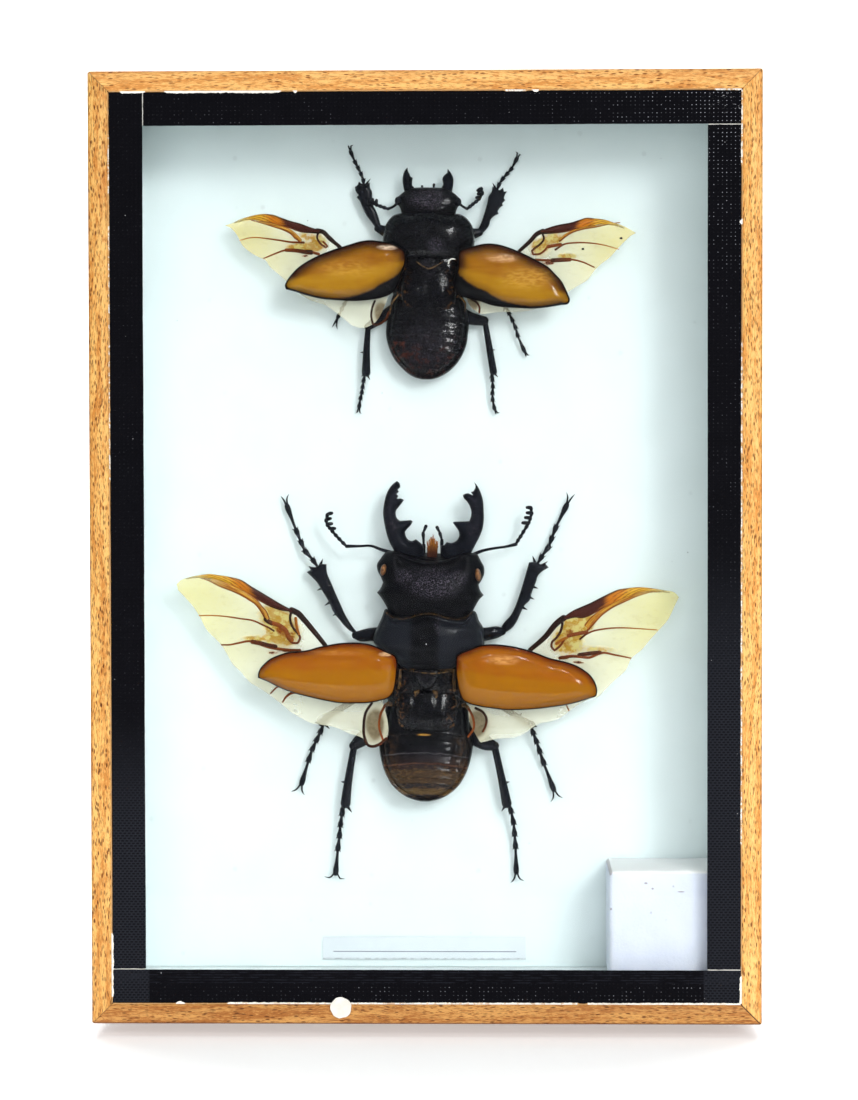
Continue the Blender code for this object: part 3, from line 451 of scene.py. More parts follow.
def wire_oak(w, into):
    """Wood with its grain along x, in millimetres: soft streaks, fine fibre, and short dark pores."""
    vector = into["Vector"]
    wander = w.noise(w.stretched(vector, (0.02, 0.08, 0.08)), 1.0, 2.0)
    bent = w.vector("MULTIPLY_ADD", w.node("ShaderNodeCombineXYZ", {"Y": wander, "Z": wander}), (0, 5, 5), vector)
    streak = w.noise(w.stretched(bent, (0.04, 0.7, 0.7)), 1.0, 4.0, 0.6)
    fibre = w.noise(w.stretched(bent, (0.6, 3.2, 3.2)), 1.0, 4.0, 0.7)
    base = w.mix(w.step(streak, 0.36, 0.62), into["Dark"], into["Pale"])
    base = w.mix(w.step(fibre, 0.5, 0.64, 0.0, 0.8), base, into["Pale"])
    base = w.mix(w.step(fibre, 0.5, 0.38, 0.0, 0.95), base, into["Dark"])
    base = w.mix(w.step(fibre, 0.4, 0.27, 0.0, 0.6), base, into["Pore"])
    thread = w.noise(w.stretched(bent, (0.5, 4.6, 4.6)), 1.0, 3.0, 0.7)
    base = w.mix(w.step(thread, 0.47, 0.34, 0.0, 0.6), base, into["Pore"])
    cell = w.stretched(bent, (0.6, 2.4, 2.4))
    chance = w.xyz(w.cells(cell, 1.0, "Color"))
    kept = w.times(w.step(chance[0], into["Bareness"], w.plus(into["Bareness"], 0.08)), w.madd(chance[1], 0.5, 0.6))
    pore = w.times(w.step(w.cells(cell, 1.0), 0.42, 0.2), kept)
    base = w.mix(w.times(pore, 0.95, clamp=True), base, into["Pore"])
    roughness = w.plus(w.step(streak, 0.3, 0.7, 0.5, 0.4), w.times(pore, 0.25))
    height = w.minus(w.times(fibre, 0.35), pore)
    return base, roughness, height


oak_grain = effect("oak_grain", [("Vector", "Vector", None), ("Pale", "Color", (1, 1, 1, 1)),
                                 ("Dark", "Color", (1, 1, 1, 1)), ("Pore", "Color", (0, 0, 0, 1)),
                                 ("Bareness", "Float", 0.4)],
                   [("Color", "Color"), ("Roughness", "Float"), ("Height", "Float")], wire_oak)


def wire_specks(w, into):
    """Scattered specks: a cell each, most of them bare."""
    scaled = w.scaled(into["Vector"], into["Density"])
    random_part = w.xyz(w.cells(scaled, 1.0, "Color"))
    radius = w.times(into["Size"], w.plus(0.4, random_part[1]))
    dot = w.step(w.cells(scaled, 1.0), radius, w.times(radius, 0.5))
    kept = w.math("GREATER_THAN", random_part[0], into["Bareness"])
    return (w.times(w.times(dot, kept), w.plus(0.3, random_part[2])),)


specks = effect("specks", [("Vector", "Vector", None), ("Density", "Float", 1.0), ("Size", "Float", 0.1),
                           ("Bareness", "Float", 0.5)], [("Mask", "Float")], wire_specks)


def wire_cuticle(w, into):
    """An insect's hard skin: a granular relief, and the painted glints and roughness that change with it."""
    spot = into["Spot"]
    coarse = w.noise(spot, 2.6, 3.0, 0.6)
    fine = w.cells(spot, 5.5, feature="SMOOTH_F1")
    pits = w.step(w.cells(spot, into["Pit Scale"]), 0.12, 0.34)
    rough = into["Grain"]
    height = w.plus(w.times(w.plus(coarse, w.times(fine, 0.8)), rough), w.times(pits, into["Pits"]))
    glint = w.times(w.step(w.noise(spot, 3.4, 4.0, 0.75), 0.47, 0.74), rough)
    roughness = w.plus(w.step(coarse, 0.3, 0.7, 0.0, 0.12), w.plus(into["Smoothness"], w.times(rough, 0.12)))
    return glint, roughness, height


cuticle = effect("cuticle", [("Spot", "Vector", None), ("Grain", "Float", 0.5), ("Pits", "Float", 0.0),
                             ("Pit Scale", "Float", 3.0), ("Smoothness", "Float", 0.3)],
                 [("Glint", "Float"), ("Roughness", "Float"), ("Height", "Float")], wire_cuticle)


def wire_paper(w, into):
    """Paper, card and foam: a faint cloudy tone and a fine nap."""
    cloud = w.noise(into["Vector"], 0.09, 3.0, 0.6)
    nap = w.noise(into["Vector"], 3.2, 3.0, 0.7)
    base = w.mix(w.step(cloud, 0.35, 0.75, 0.0, into["Cloudiness"]), into["Color"], into["Stain"])
    base = w.mix(w.step(nap, 0.4, 0.7, 0.0, 0.08), base, into["Stain"])
    return base, w.plus(w.times(nap, 0.7), w.times(cloud, 0.3))


paper_nap = effect("paper_nap", [("Vector", "Vector", None), ("Color", "Color", (1, 1, 1, 1)),
                                 ("Stain", "Color", (0.5, 0.5, 0.5, 1)), ("Cloudiness", "Float", 0.3)],
                   [("Color", "Color"), ("Height", "Float")], wire_paper)


# ---------------------------------------------------------------- materials of the case

def rail_oak(name, pale, dark, pore, turn, bareness):
    """One rail's oak, with dirt, painted shade along its outer edges and its foot, mitre lines, and white walls inside
    the case.
    """
    half_width, half_height, middle = 73.1, 104.1, 105.0

    def wire(w):
        place = w.node("ShaderNodeMapping", {"Vector": w.millimetres(), "Rotation": turn})
        base, roughness, height = w.group(oak_grain, {"Vector": place, "Pale": pale, "Dark": dark, "Pore": pore,
                                                      "Bareness": bareness}, ("Color", "Roughness", "Height"))
        dirt = w.step(w.noise(w.millimetres(), 0.3, 4.0, 0.7), 0.62, 0.8, 0.0, 0.3)
        x, y, z = w.xyz(w.millimetres())
        out_across = w.minus(w.size(x), half_width)
        out_up = w.minus(w.size(w.minus(z, middle)), half_height)
        # edge and foot: painted shade along the rail's rounded outer edges and, stronger, along its foot on the floor
        edge = w.step(w.most(out_across, out_up), 0.35, 0.75, 0.0, 0.3)
        foot = w.step(z, 0.5, 0.2, 0.0, 0.75)
        base = w.mix(dirt, base, colour(120, 72, 36))
        base = w.mix(w.most(edge, foot), base, colour(84, 50, 34))
        mitre = w.size(w.plus(w.minus(out_across, out_up), 0.1))
        cleft = w.times(w.step(x, 60.0, 66.0), w.step(z, 20.0, 8.0))
        mitre = w.times(w.step(mitre, 0.26, 0.1), w.madd(cleft, 0.6, 0.25))
        base = w.mix(mitre, base, colour(52, 28, 16))
        inner = w.times(w.step(out_across, -7.0, -7.05), w.step(out_up, -7.0, -7.05))
        inner = w.times(inner, w.step(y, -16.4, -16.2))
        base = w.mix(inner, base, colour(232, 240, 240))
        return {"Base Color": base, "Roughness": roughness, "Height": (height, 0.5, 0.00012)}
    return finish(name, wire, Specular_IOR_Level=0.3)


ALONG_X, ALONG_Z = (0.0, 0.0, 0.0), (0.0, math.pi / 2, 0.0)
# One oak in four tones: the bottom and left rails are darker as painted shade, the top and right ones paler as painted
# light from above and the right.
OAK_BOTTOM_SHADED = rail_oak("rail_oak_bottom_shaded", colour(212, 156, 86), colour(168, 104, 46), colour(96, 50, 20), ALONG_X, 0.5)
OAK_TOP_LIT = rail_oak("rail_oak_top_lit", colour(246, 194, 118), colour(212, 142, 70), colour(132, 76, 34), ALONG_X, 0.55)
OAK_LEFT_SHADED = rail_oak("rail_oak_left_shaded", colour(238, 188, 108), colour(202, 132, 58), colour(92, 42, 12), ALONG_Z, 0.08)
OAK_RIGHT_LIT = rail_oak("rail_oak_right_lit", colour(252, 202, 122), colour(222, 148, 70), colour(104, 54, 20), ALONG_Z, 0.15)


def clear_glass():
    """Clear glass. It also lets part of the lamps' light straight through, so that the board behind it is lit."""
    look = finish("clear_glass", lambda w: {}, Base_Color=(0.985, 1.0, 1.0, 1.0), Roughness=0.0, IOR=1.16,
                  Transmission_Weight=1.0)
    w = Wiring(look.node_tree)
    glass = look.node_tree.nodes["Principled BSDF"].outputs[0]
    lamp_ray = w.node("ShaderNodeLightPath", out="Is Shadow Ray")
    through = w.node("ShaderNodeBsdfTransparent", {"Color": (0.94, 0.95, 0.95, 1.0)})
    shown = w.node("ShaderNodeMixShader", {0: lamp_ray, 1: glass, 2: through})
    w.set(look.node_tree.nodes["Material Output"].inputs["Surface"], shown)
    return look


CLEAR_GLASS = clear_glass()


def wire_tape(w):
    """Black cloth tape: a grid of tiny painted highlights on the weave's bumps, bare threads low down and a brick
    weave at the sides.
    """
    place = w.millimetres()
    x, y, z = w.xyz(place)
    jitter = w.scaled(w.noise(place, 0.9, 2.0, out="Color"), 0.2)
    grid = w.vector("MULTIPLY", w.vector("ADD", place, jitter), (1.05, 0.0, 1.15))
    reach = w.vector("LENGTH", w.vector("SUBTRACT", w.vector("FRACTION", grid), (0.5, 0.0, 0.5)), out="Value")
    chance = w.node("ShaderNodeTexWhiteNoise", {"Vector": w.vector("FLOOR", grid)}, "Value", noise_dimensions="3D")
    # The pale points are painted highlights on the weave's bumps, in clusters, thicker towards the upper right corner
    # and low on the bottom strip.
    highlight_cluster = w.step(w.noise(place, 0.11, 3.0, 0.6), 0.4, 0.7, 0.08, 0.4)
    corner = w.times(w.step(x, 20.0, 62.0), w.step(z, 150.0, 198.0))
    low = w.times(w.step(z, 8.8, 8.4), w.step(x, -40.0, -10.0))
    highlight_cluster = w.plus(highlight_cluster, w.most(corner, w.times(low, 0.45)))
    highlight_cluster = w.times(highlight_cluster, w.step(x, -61.0, -62.0, 1.0, 0.35))
    threads = w.times(w.step(z, 8.6, 9.4), w.step(z, 12.4, 12.2))
    brick = w.most(w.times(w.step(x, 61.0, 61.5), w.step(z, 110.0, 70.0)),
                   w.times(w.step(x, -61.0, -61.5), w.step(z, 72.0, 40.0)))
    plain = w.minus(1.0, w.most(threads, brick))
    power = w.math("POWER", chance, w.minus(4.0, w.times(corner, 2.6)))
    highlight_strength = w.times(w.times(power, highlight_cluster), plain)
    dot = w.step(reach, w.plus(0.1, w.times(chance, 0.05)), 0.03)
    brick_length, brick_height = 0.95, 0.56
    level = w.math("DIVIDE", z, brick_height)
    along = w.plus(w.math("DIVIDE", x, brick_length), w.times(w.math("FLOOR", level), 0.5))
    beside = w.size(w.minus(w.math("FRACT", along), 0.5))
    above = w.size(w.minus(w.math("FRACT", level), 0.5))
    dash = w.times(w.step(beside, 0.38, 0.26), w.step(above, 0.36, 0.2))
    line = w.times(w.step(above, 0.3, 0.1), w.step(w.noise(w.stretched(place, (0.5, 1.0, 3.0)), 1.0), 0.4, 0.6))
    cloth = w.mix(w.noise(place, 0.16, 3.0), colour(8, 8, 12), colour(14, 14, 19))
    cloth = w.mix(brick, cloth, colour(33, 35, 41))
    cloth = w.mix(w.times(w.times(dash, brick), 0.85), cloth, colour(9, 9, 14))
    cloth = w.mix(w.times(w.times(line, threads), 0.5), cloth, colour(40, 42, 50))
    # Lays the painted highlights over the cloth.
    base = w.mix(w.times(w.times(dot, highlight_strength), 0.9, clamp=True), cloth, colour(196, 200, 210))
    chips = w.group(specks, {"Vector": place, "Density": 0.7, "Size": 0.11, "Bareness": 0.95}, "Mask")
    flecks = w.times(w.step(w.noise(w.stretched(place, (1.0, 1.0, 2.0)), 1.3, 4.0, 0.7), 0.62, 0.7),
                     w.times(w.step(x, 60.0, 66.0), w.step(z, 199.5, 203.0)))
    base = w.mix(w.most(w.times(chips, 0.7), w.times(flecks, 0.75)), base, colour(205, 205, 208))
    weave = w.plus(w.step(reach, 0.5, 0.1), w.plus(w.noise(place, 6.0, 2.0), dash))
    return {"Base Color": base, "Roughness": w.step(reach, 0.1, 0.5, 0.42, 0.6), "Height": (weave, 0.6, 0.0001)}


BLACK_TAPE = finish("black_cloth_tape_woven", wire_tape, Specular_IOR_Level=0.04)


def wire_board(w):
    place = w.millimetres()
    base, nap = w.group(paper_nap, {"Vector": place, "Color": (0.76, 0.85, 0.855, 1), "Stain": (0.71, 0.8, 0.8, 1),
                                    "Cloudiness": 0.5}, ("Color", "Height"))
    small = w.group(specks, {"Vector": place, "Density": 0.3, "Size": 0.085, "Bareness": 0.72}, "Mask")
    faint = w.group(specks, {"Vector": w.vector("ADD", place, (31, 17, 5)), "Density": 0.16, "Size": 0.16,
                             "Bareness": 0.5}, "Mask")
    base = w.mix(w.times(small, 0.8, clamp=True), base, colour(70, 76, 80))
    base = w.mix(w.times(faint, 0.1), base, colour(120, 125, 125))
    return {"Base Color": base, "Height": (nap, 0.15, 0.0001)}


WHITE_BOARD = finish("white_board_card", wire_board, Roughness=0.75, Specular_IOR_Level=0.3)


def wire_back(w):
    place = w.millimetres()
    base, nap = w.group(paper_nap, {"Vector": place, "Color": colour(150, 112, 72), "Stain": colour(112, 80, 50),
                                    "Cloudiness": 0.35}, ("Color", "Height"))
    fibre = w.noise(w.stretched(place, (0.5, 1.0, 2.2)), 1.4, 5.0, 0.75)
    flecks = w.group(specks, {"Vector": place, "Density": 0.7, "Size": 0.2, "Bareness": 0.5}, "Mask")
    base = w.mix(w.step(fibre, 0.45, 0.7, 0.0, 0.6), base, colour(176, 138, 94))
    base = w.mix(w.times(flecks, 0.5), base, colour(72, 50, 32))
    return {"Base Color": base, "Height": (w.plus(nap, fibre), 0.4, 0.0002)}


BACK_BOARD = finish("back_hardboard", wire_back, Roughness=0.82)


def wire_slip(w):
    place = w.millimetres()
    base, nap = w.group(paper_nap, {"Vector": place, "Color": (0.70, 0.76, 0.79, 1), "Stain": (0.62, 0.67, 0.71, 1),
                                    "Cloudiness": 0.6}, ("Color", "Height"))
    x, y, z = w.xyz(place)
    across = w.times(w.step(x, -22.2, -21.8), w.step(x, 20.2, 19.8))
    line = w.times(w.step(w.size(w.minus(z, 11.6)), 0.16, 0.06), across)
    # foot: painted shade along the slip's lower edge
    foot = w.times(w.step(z, 10.3, 9.95), w.step(w.noise(place, 0.6, 3.0), 0.4, 0.6, 0.25, 1.0))
    base = w.mix(w.times(line, 0.75), base, colour(70, 76, 92))
    base = w.mix(w.times(foot, 0.45), base, colour(90, 96, 104))
    return {"Base Color": base, "Height": (nap, 0.2, 0.0001)}


LABEL_SLIP = finish("label_slip_paper", wire_slip, Roughness=0.7)


def wire_foam(w):
    place = w.millimetres()
    base, nap = w.group(paper_nap, {"Vector": place, "Color": colour(220, 226, 240), "Stain": colour(202, 209, 224),
                                    "Cloudiness": 0.5}, ("Color", "Height"))
    # Painted light: the top face is laid paler than the lamps leave it.
    base = w.mix(w.step(w.xyz(place)[2], 32.5, 33.1), base, colour(253, 254, 255))
    bubbles = w.cells(place, 1.6)
    marks = w.group(specks, {"Vector": place, "Density": 0.2, "Size": 0.1, "Bareness": 0.6}, "Mask")
    base = w.mix(w.times(marks, 0.4), base, colour(150, 150, 160))
    flat = w.node("ShaderNodeCombineXYZ", {"X": w.xyz(place)[0], "Y": w.xyz(place)[2]})
    # Painted shade in a few small nicks of the foam, the slit at its top left corner among them.
    nick_shades = None
    for centre, radii in (((40.9, 33.0), (0.5, 0.9)), ((41.0, 24.8), (0.3, 0.35)), ((48.7, 30.6), (0.5, 0.3)),
                          ((50.2, 29.4), (0.35, 0.3)), ((56.5, 28.7), (1.0, 0.2))):
        nick_shade = w.patch(flat, centre, radii, 0.5)
        nick_shades = w.most(nick_shades, nick_shade) if nick_shades else nick_shade
    base = w.mix(w.times(nick_shades, 0.65), base, colour(120, 104, 110))
    return {"Base Color": base, "Height": (w.plus(bubbles, nap), 0.25, 0.00015)}


WHITE_FOAM = finish("white_foam", wire_foam, Roughness=0.6, Subsurface_Weight=0.7, Subsurface_Scale=0.005,
                    Subsurface_Radius=(1.0, 1.0, 1.0))


def wire_white_paper(w):
    place = w.millimetres()
    base, nap = w.group(paper_nap, {"Vector": w.stretched(place, (3, 3, 3)), "Color": colour(250, 248, 240),
                                    "Stain": colour(206, 200, 188), "Cloudiness": 0.5}, ("Color", "Height"))
    return {"Base Color": base, "Height": (nap, 0.4, 0.0001)}


def wire_paper_edge(w):
    """The tape's torn liner: white where it is bare, and stained like the wood elsewhere."""
    place = w.millimetres()
    white = wire_white_paper(w)
    fine = w.step(w.noise(place, 1.1, 3.0, 0.7), 0.4, 0.6, -0.3, 0.3)
    bare = w.step(w.plus(w.attribute("bare"), fine), 0.2, 0.7)
    return {**white, "Base Color": w.mix(bare, colour(206, 160, 104), white["Base Color"])}


WHITE_PAPER = finish("torn_white_paper", wire_white_paper, Roughness=0.8)
PAPER_EDGE = finish("tape_liner_edge", wire_paper_edge, Roughness=0.8)
PAPER_DAB = finish("white_dab_paper", wire_white_paper, Roughness=0.65)


# ---------------------------------------------------------------- materials of the beetles

BLACK = colour(2, 3, 6)


def shell(name, grains, smoothness, tint=None, pits=0.0, pit_scale=3.0, **plain):
    """Black cuticle: grains lists where it is rough and shows painted glints, as (centre, radii, strength) on the
    board, over a base.
    """
    def wire(w):
        spot = w.attribute("spot", "Vector")
        grain_here = 0.05
        for centre, radii, strength in grains:
            grain_here = w.most(grain_here, w.times(w.patch(spot, centre, radii, 0.7), strength))
        glint, roughness, height = w.group(cuticle, {"Spot": spot, "Grain": grain_here, "Pits": pits,
                                                     "Pit Scale": pit_scale, "Smoothness": smoothness},
                                           ("Glint", "Roughness", "Height"))
        base = w.mix(w.step(w.noise(spot, 0.5, 2.0), 0.35, 0.7), BLACK, colour(7, 8, 13))
        # Painted glints: a pale grey laid into the base colour for the sparkle on the grains.
        base = w.mix(w.times(glint, 0.62), base, colour(132, 122, 140))
        if tint:
            base = tint(w, spot, base)
        dust = w.group(specks, {"Vector": spot, "Density": 1.3, "Size": 0.1, "Bareness": 0.86}, "Mask")
        base = w.mix(w.times(dust, 0.3), base, colour(150, 142, 136))
        return {"Base Color": base, "Roughness": roughness, "Height": (height, 0.6, 0.00014)}
    return finish(name, wire, Specular_IOR_Level=0.05, **plain)


def male_pronotum_tint_and_sheen(w, spot, base):
    """Darker along the middle, greyer towards the sides as a painted sheen on their curve, and one tiny pale dot."""
    x = w.xyz(spot)[0]
    apart = w.plus(w.size(w.plus(x, 0.7)), w.times(w.noise(spot, 0.5, 3.0), 1.2))
    # The greyer sides are a painted sheen.
    base = w.mix(w.step(apart, 3.2, 4.4), base, colour(24, 26, 32))
    base = w.mix(w.patch(spot, (-0.3, 5.6), (0.34, 0.34), 0.3), base, colour(4, 4, 6))
    return w.mix(w.patch(spot, (-0.3, 5.6), (0.17, 0.17), 0.5), base, colour(210, 210, 214))


def bands(w, spot, base, rows, sag):
    """Bands across the body: rows of (y, half height, softness, colour, strength), sagging towards the sides."""
    x, y, z = w.xyz(spot)
    drift = w.noise(spot, 0.8, 4.0, 0.6)
    level = w.plus(w.plus(y, drift), w.times(w.times(x, x), sag))
    for centre, half, soft, shade, strength in rows:
        apart = w.size(w.minus(level, centre + 0.5))
        base = w.mix(w.step(apart, half + soft, half, 0.0, strength), base, shade)
    return base


def male_abdomen_tint(w, spot, base):
    brown, ochre = colour(60, 45, 30), colour(84, 64, 36)
    flank = w.times(w.step(w.size(w.xyz(spot)[0]), 5.0, 8.6),
                    w.step(w.noise(w.stretched(spot, (1.0, 0.6, 1.0)), 0.9, 4.0, 0.7), 0.42, 0.62))
    flank = w.times(flank, w.step(w.xyz(spot)[1], -14.5, -17.0))
    base = w.mix(w.times(flank, 0.6), base, colour(66, 46, 28))
    reddish = w.times(w.step(w.xyz(spot)[1], -19.0, -22.5), 0.5)
    base = w.mix(reddish, base, colour(42, 28, 24))
    fibre = w.noise(w.stretched(spot, (1.0, 2.2, 1.0)), 1.0, 5.0, 0.75)
    # The first row is a painted highlight: a thin pale line along a plate's edge.
    base = bands(w, spot, base, [(-19.3, 0.06, 0.12, colour(92, 88, 92), 0.4),
                                 (-21.7, 0.1, 0.18, colour(88, 56, 42), 0.6),
                                 (-24.6, 1.2, 0.8, brown, 0.75), (-26.8, 0.35, 0.3, colour(26, 24, 28), 0.9),
                                 (-28.2, 0.5, 0.5, ochre, 0.8), (-29.5, 0.45, 0.3, colour(22, 20, 24), 0.9)], 0.012)
    base = w.mix(w.times(w.step(fibre, 0.5, 0.66), w.step(w.xyz(spot)[1], -20.5, -24.0, 0.0, 0.6)), base,
                 colour(116, 86, 52))
    golden = w.patch(spot, (-0.4, -15.2), (1.9, 0.3), 0.6)
    base = w.mix(golden, base, colour(160, 116, 48))
    across = w.size(w.xyz(spot)[0])
    rim = w.most(w.step(across, 9.3, 9.9), w.step(w.xyz(spot)[1], -29.4, -30.0))
    return w.mix(rim, base, colour(10, 9, 11))


def female_abdomen_tint(w, spot, base):
    low = w.step(w.xyz(spot)[1], -16.0, -23.0)
    flecks = w.step(w.noise(spot, 0.7, 4.0, 0.65), 0.5, 0.68)
    base = w.mix(w.times(w.times(low, flecks), 0.6), base, colour(58, 25, 16))
    left = w.patch(spot, (-6.6, -20.0), (2.6, 4.2), 0.8)
    return w.mix(w.times(w.times(left, flecks), 0.8), base, colour(74, 34, 22))


def thorax_tint(w, spot, base):
    flecks = w.step(w.noise(spot, 1.1, 4.0, 0.7), 0.54, 0.68)
    sides = w.step(w.size(w.xyz(spot)[0]), 3.2, 6.0)
    return w.mix(w.times(w.times(flecks, sides), 0.6), base, colour(112, 74, 38))


def steel_tint(w, spot, base):
    """A cloudy trace of blue grey."""
    return w.mix(w.step(w.noise(spot, 0.6, 3.0, 0.6), 0.3, 0.7, 0.2, 0.7), base, colour(25, 28, 36))


# Some grain patches are placed where highlights fall, so their painted glints stand in for those highlights.
MALE_HEAD_SHELL = shell("male_head_shell", [((0.8, 19.2), (8.6, 4.8), 1.0), ((-5.5, 20.6), (3.2, 2.6), 1.0),
                                            ((6.6, 20.6), (3.0, 2.6), 0.9)], 0.34, pits=0.3,
                        Coat_Weight=0.08, Coat_Roughness=0.35)
MALE_PRONOTUM_SHELL = shell("male_pronotum_shell", [((3.4, 9.9), (2.8, 3.4), 1.0), ((-8, 6), (4, 4), 0.3)], 0.36,
                            male_pronotum_tint_and_sheen, pits=0.2, Coat_Weight=0.12, Coat_Roughness=0.3)
MANDIBLE_SHELL = shell("mandible_shell", [((-9.0, 34.0), (2.4, 9.0), 0.8), ((9.6, 34.0), (2.4, 9.0), 0.8)], 0.3,
                       steel_tint, pits=0.25)
FEMALE_HEAD_SHELL = shell("female_head_shell", [((-0.2, 13.0), (6.0, 3.4), 1.1)], 0.36, pits=0.9, pit_scale=2.4,
                          Coat_Weight=0.3, Coat_Roughness=0.2)
FEMALE_PRONOTUM_SHELL = shell("female_pronotum_shell", [((1.6, 2.6), (3.0, 2.6), 0.9)], 0.22, pits=0.2,
                              pit_scale=2.6, Coat_Weight=0.4, Coat_Roughness=0.14)
LEG_SHELL = shell("leg_shell", [], 0.24, steel_tint, pits=0.15, Coat_Weight=0.35, Coat_Roughness=0.16)
MALE_ABDOMEN_SHELL = shell("male_abdomen_shell", [((0, -24), (9, 8), 0.5)], 0.26, male_abdomen_tint,
                           Coat_Weight=0.3, Coat_Roughness=0.2)
FEMALE_ABDOMEN_SHELL = shell("female_abdomen_shell", [((0, -20), (9, 8), 0.4)], 0.2, female_abdomen_tint,
                             Coat_Weight=0.4, Coat_Roughness=0.15)
THORAX_SHELL = shell("thorax_shell", [((0, -2.5), (3, 3), 0.25)], 0.2, thorax_tint, Coat_Weight=0.3,
                     Coat_Roughness=0.2)


def wire_gold(w):
    spot = w.attribute("spot", "Vector")
    streak = w.noise(w.stretched(spot, (1.4, 0.8, 3.0)), 1.1, 3.0, 0.6)
    return {"Base Color": w.mix(w.step(streak, 0.4, 0.7), colour(36, 24, 15), colour(118, 86, 42)),
            "Height": (streak, 0.4, 0.0001)}


GOLD_RIM = finish("gold_brown_rim", wire_gold, Roughness=0.45, Specular_IOR_Level=0.25)


def wire_brush(w):
    spot = w.attribute("spot", "Vector")
    streak = w.noise(w.stretched(spot, (4.0, 0.6, 4.0)), 1.5, 3.0, 0.6)
    low = w.step(w.xyz(spot)[1], 29.0, 25.5)
    base = w.mix(w.step(streak, 0.35, 0.65), colour(104, 50, 8), colour(178, 108, 18))
    return {"Base Color": w.mix(low, base, colour(56, 22, 10)), "Height": (streak, 0.3, 0.0001)}


BRUSH_HAIR = finish("brush_hair", wire_brush, Roughness=0.5)


def wire_eye(w):
    spot = w.attribute("spot", "Vector")
    facets = w.cells(spot, 7.0)
    mottle = w.noise(spot, 1.4, 3.0, 0.6)
    base = w.mix(w.step(mottle, 0.35, 0.68), colour(78, 46, 24), colour(138, 94, 56))
    return {"Base Color": base, "Height": (facets, 0.35, 0.00008)}


TAN_EYE = finish("tan_eye", wire_eye, Roughness=0.28, Specular_IOR_Level=0.3)


def elytron_look(name, main, deep, light, edge_colour, edge_width, rim_width, pit_scale, sheens_and_pale_patches, streaks=0.4,
                 suture=False):
    """A wing case: redder towards its front edge and paler behind, with a black rim, fine pits, and pale patches:
    painted highlights and paler golden areas.
    """
    def wire(w):
        spot = w.attribute("spot", "Vector")
        inward, front = w.attribute("rim"), w.attribute("front")
        streak = w.noise(w.stretched(spot, (0.12, 0.9, 0.5)), 1.0, 4.0, 0.6)
        mottle = w.noise(spot, 0.35, 3.0, 0.6)
        back = w.plus(front, w.times(w.minus(mottle, 0.5), 1.2))
        base = w.mix(w.step(back, -0.4, 1.6, 0.0, 0.85), main, deep)
        base = w.mix(w.step(streak, 0.42, 0.74, 0.0, streaks), base, light)
        fleck = w.noise(spot, 5.0, 3.0, 0.7)
        base = w.mix(w.step(fleck, 0.5, 0.72, 0.0, 0.25), base, deep)
        wander = w.times(w.minus(w.noise(spot, 0.9, 2.0), 0.5), 0.5)
        edge = w.step(w.plus(inward, wander), edge_width, 0.2)
        base = w.mix(w.times(edge, front), base, edge_colour)
        base = w.mix(w.times(w.step(inward, 1.6, 0.2), 0.45), base, edge_colour)
        ripple = w.step(w.noise(w.stretched(spot, (0.7, 2.2, 0.5)), 1.0, 4.0, 0.6), 0.4, 0.6, 0.35, 1.0)
        # Each pale patch is laid through a ripple: the shoulder ones and the thin front-edge streak are painted
        # highlights, the broad golden ones a paler tone.
        for centre, radii, strength, shade in sheens_and_pale_patches:
            pale_mark = w.times(w.times(w.patch(spot, centre, radii, 0.75), ripple), strength)
            base = w.mix(pale_mark, base, shade)
        if suture:
            past = w.plus(w.attribute("suture"), w.times(wander, 0.8))
            base = w.mix(w.times(w.step(past, -2.2, 0.0), 0.55), base, colour(84, 44, 8))
            base = w.mix(w.step(past, -0.45, 0.3), base, colour(9, 9, 13))
        base = w.mix(w.step(inward, rim_width + 0.14, rim_width), base, colour(8, 6, 8))
        pits = w.cells(spot, pit_scale)
        height = w.plus(w.step(pits, 0.1, 0.4), w.times(w.noise(spot, 1.2, 3.0), 0.6))
        roughness = w.plus(0.27, w.step(mottle, 0.3, 0.7, 0.0, 0.12))
        gloss = w.step(inward, rim_width, rim_width + 0.6, 0.05, 0.6)
        if suture:
            gloss = w.times(gloss, w.step(past, -0.3, 0.5, 1.0, 0.25))
        return {"Base Color": base, "Roughness": roughness, "Coat Weight": gloss, "Height": (height, 0.22, 0.0001)}
    return finish(name, wire, Specular_IOR_Level=0.04, Coat_Roughness=0.1)


# Pale patches: for the male, painted highlights at the left shoulder, along the left front edge and on the right
# shoulder; for the female, painted highlights at both shoulders and paler golden areas behind them.
MALE_ELYTRON_LOOK = elytron_look("male_wing_case", colour(150, 94, 0), colour(144, 70, 0), colour(166, 106, 4),
                                 colour(96, 34, 0), 1.6, 0.26, 3.4,
                                 [((-9.4, 3.1), (1.9, 0.6), 0.9, colour(255, 214, 160)),
                                  ((-21.0, 3.2), (9.0, 0.8), 0.2, colour(232, 160, 84)),
                                  ((17.2, 2.6), (4.6, 1.5), 0.5, colour(240, 176, 104))], 0.3)
FEMALE_ELYTRON_LOOK = elytron_look("female_wing_case", colour(158, 112, 14), colour(122, 62, 4),
                                   colour(196, 148, 46), colour(46, 15, 3), 3.4, 0.34, 2.6,
                                   [((-9.2, 1.9), (2.8, 0.8), 0.7, colour(255, 226, 196)),
                                    ((-18.0, -3.0), (9.0, 3.0), 0.35, colour(212, 160, 60)),
                                    ((16.8, -0.4), (4.6, 1.3), 0.5, colour(240, 190, 140)),
                                    ((22.0, -5.0), (8.0, 3.4), 0.5, colour(214, 164, 66))], 0.12, True)


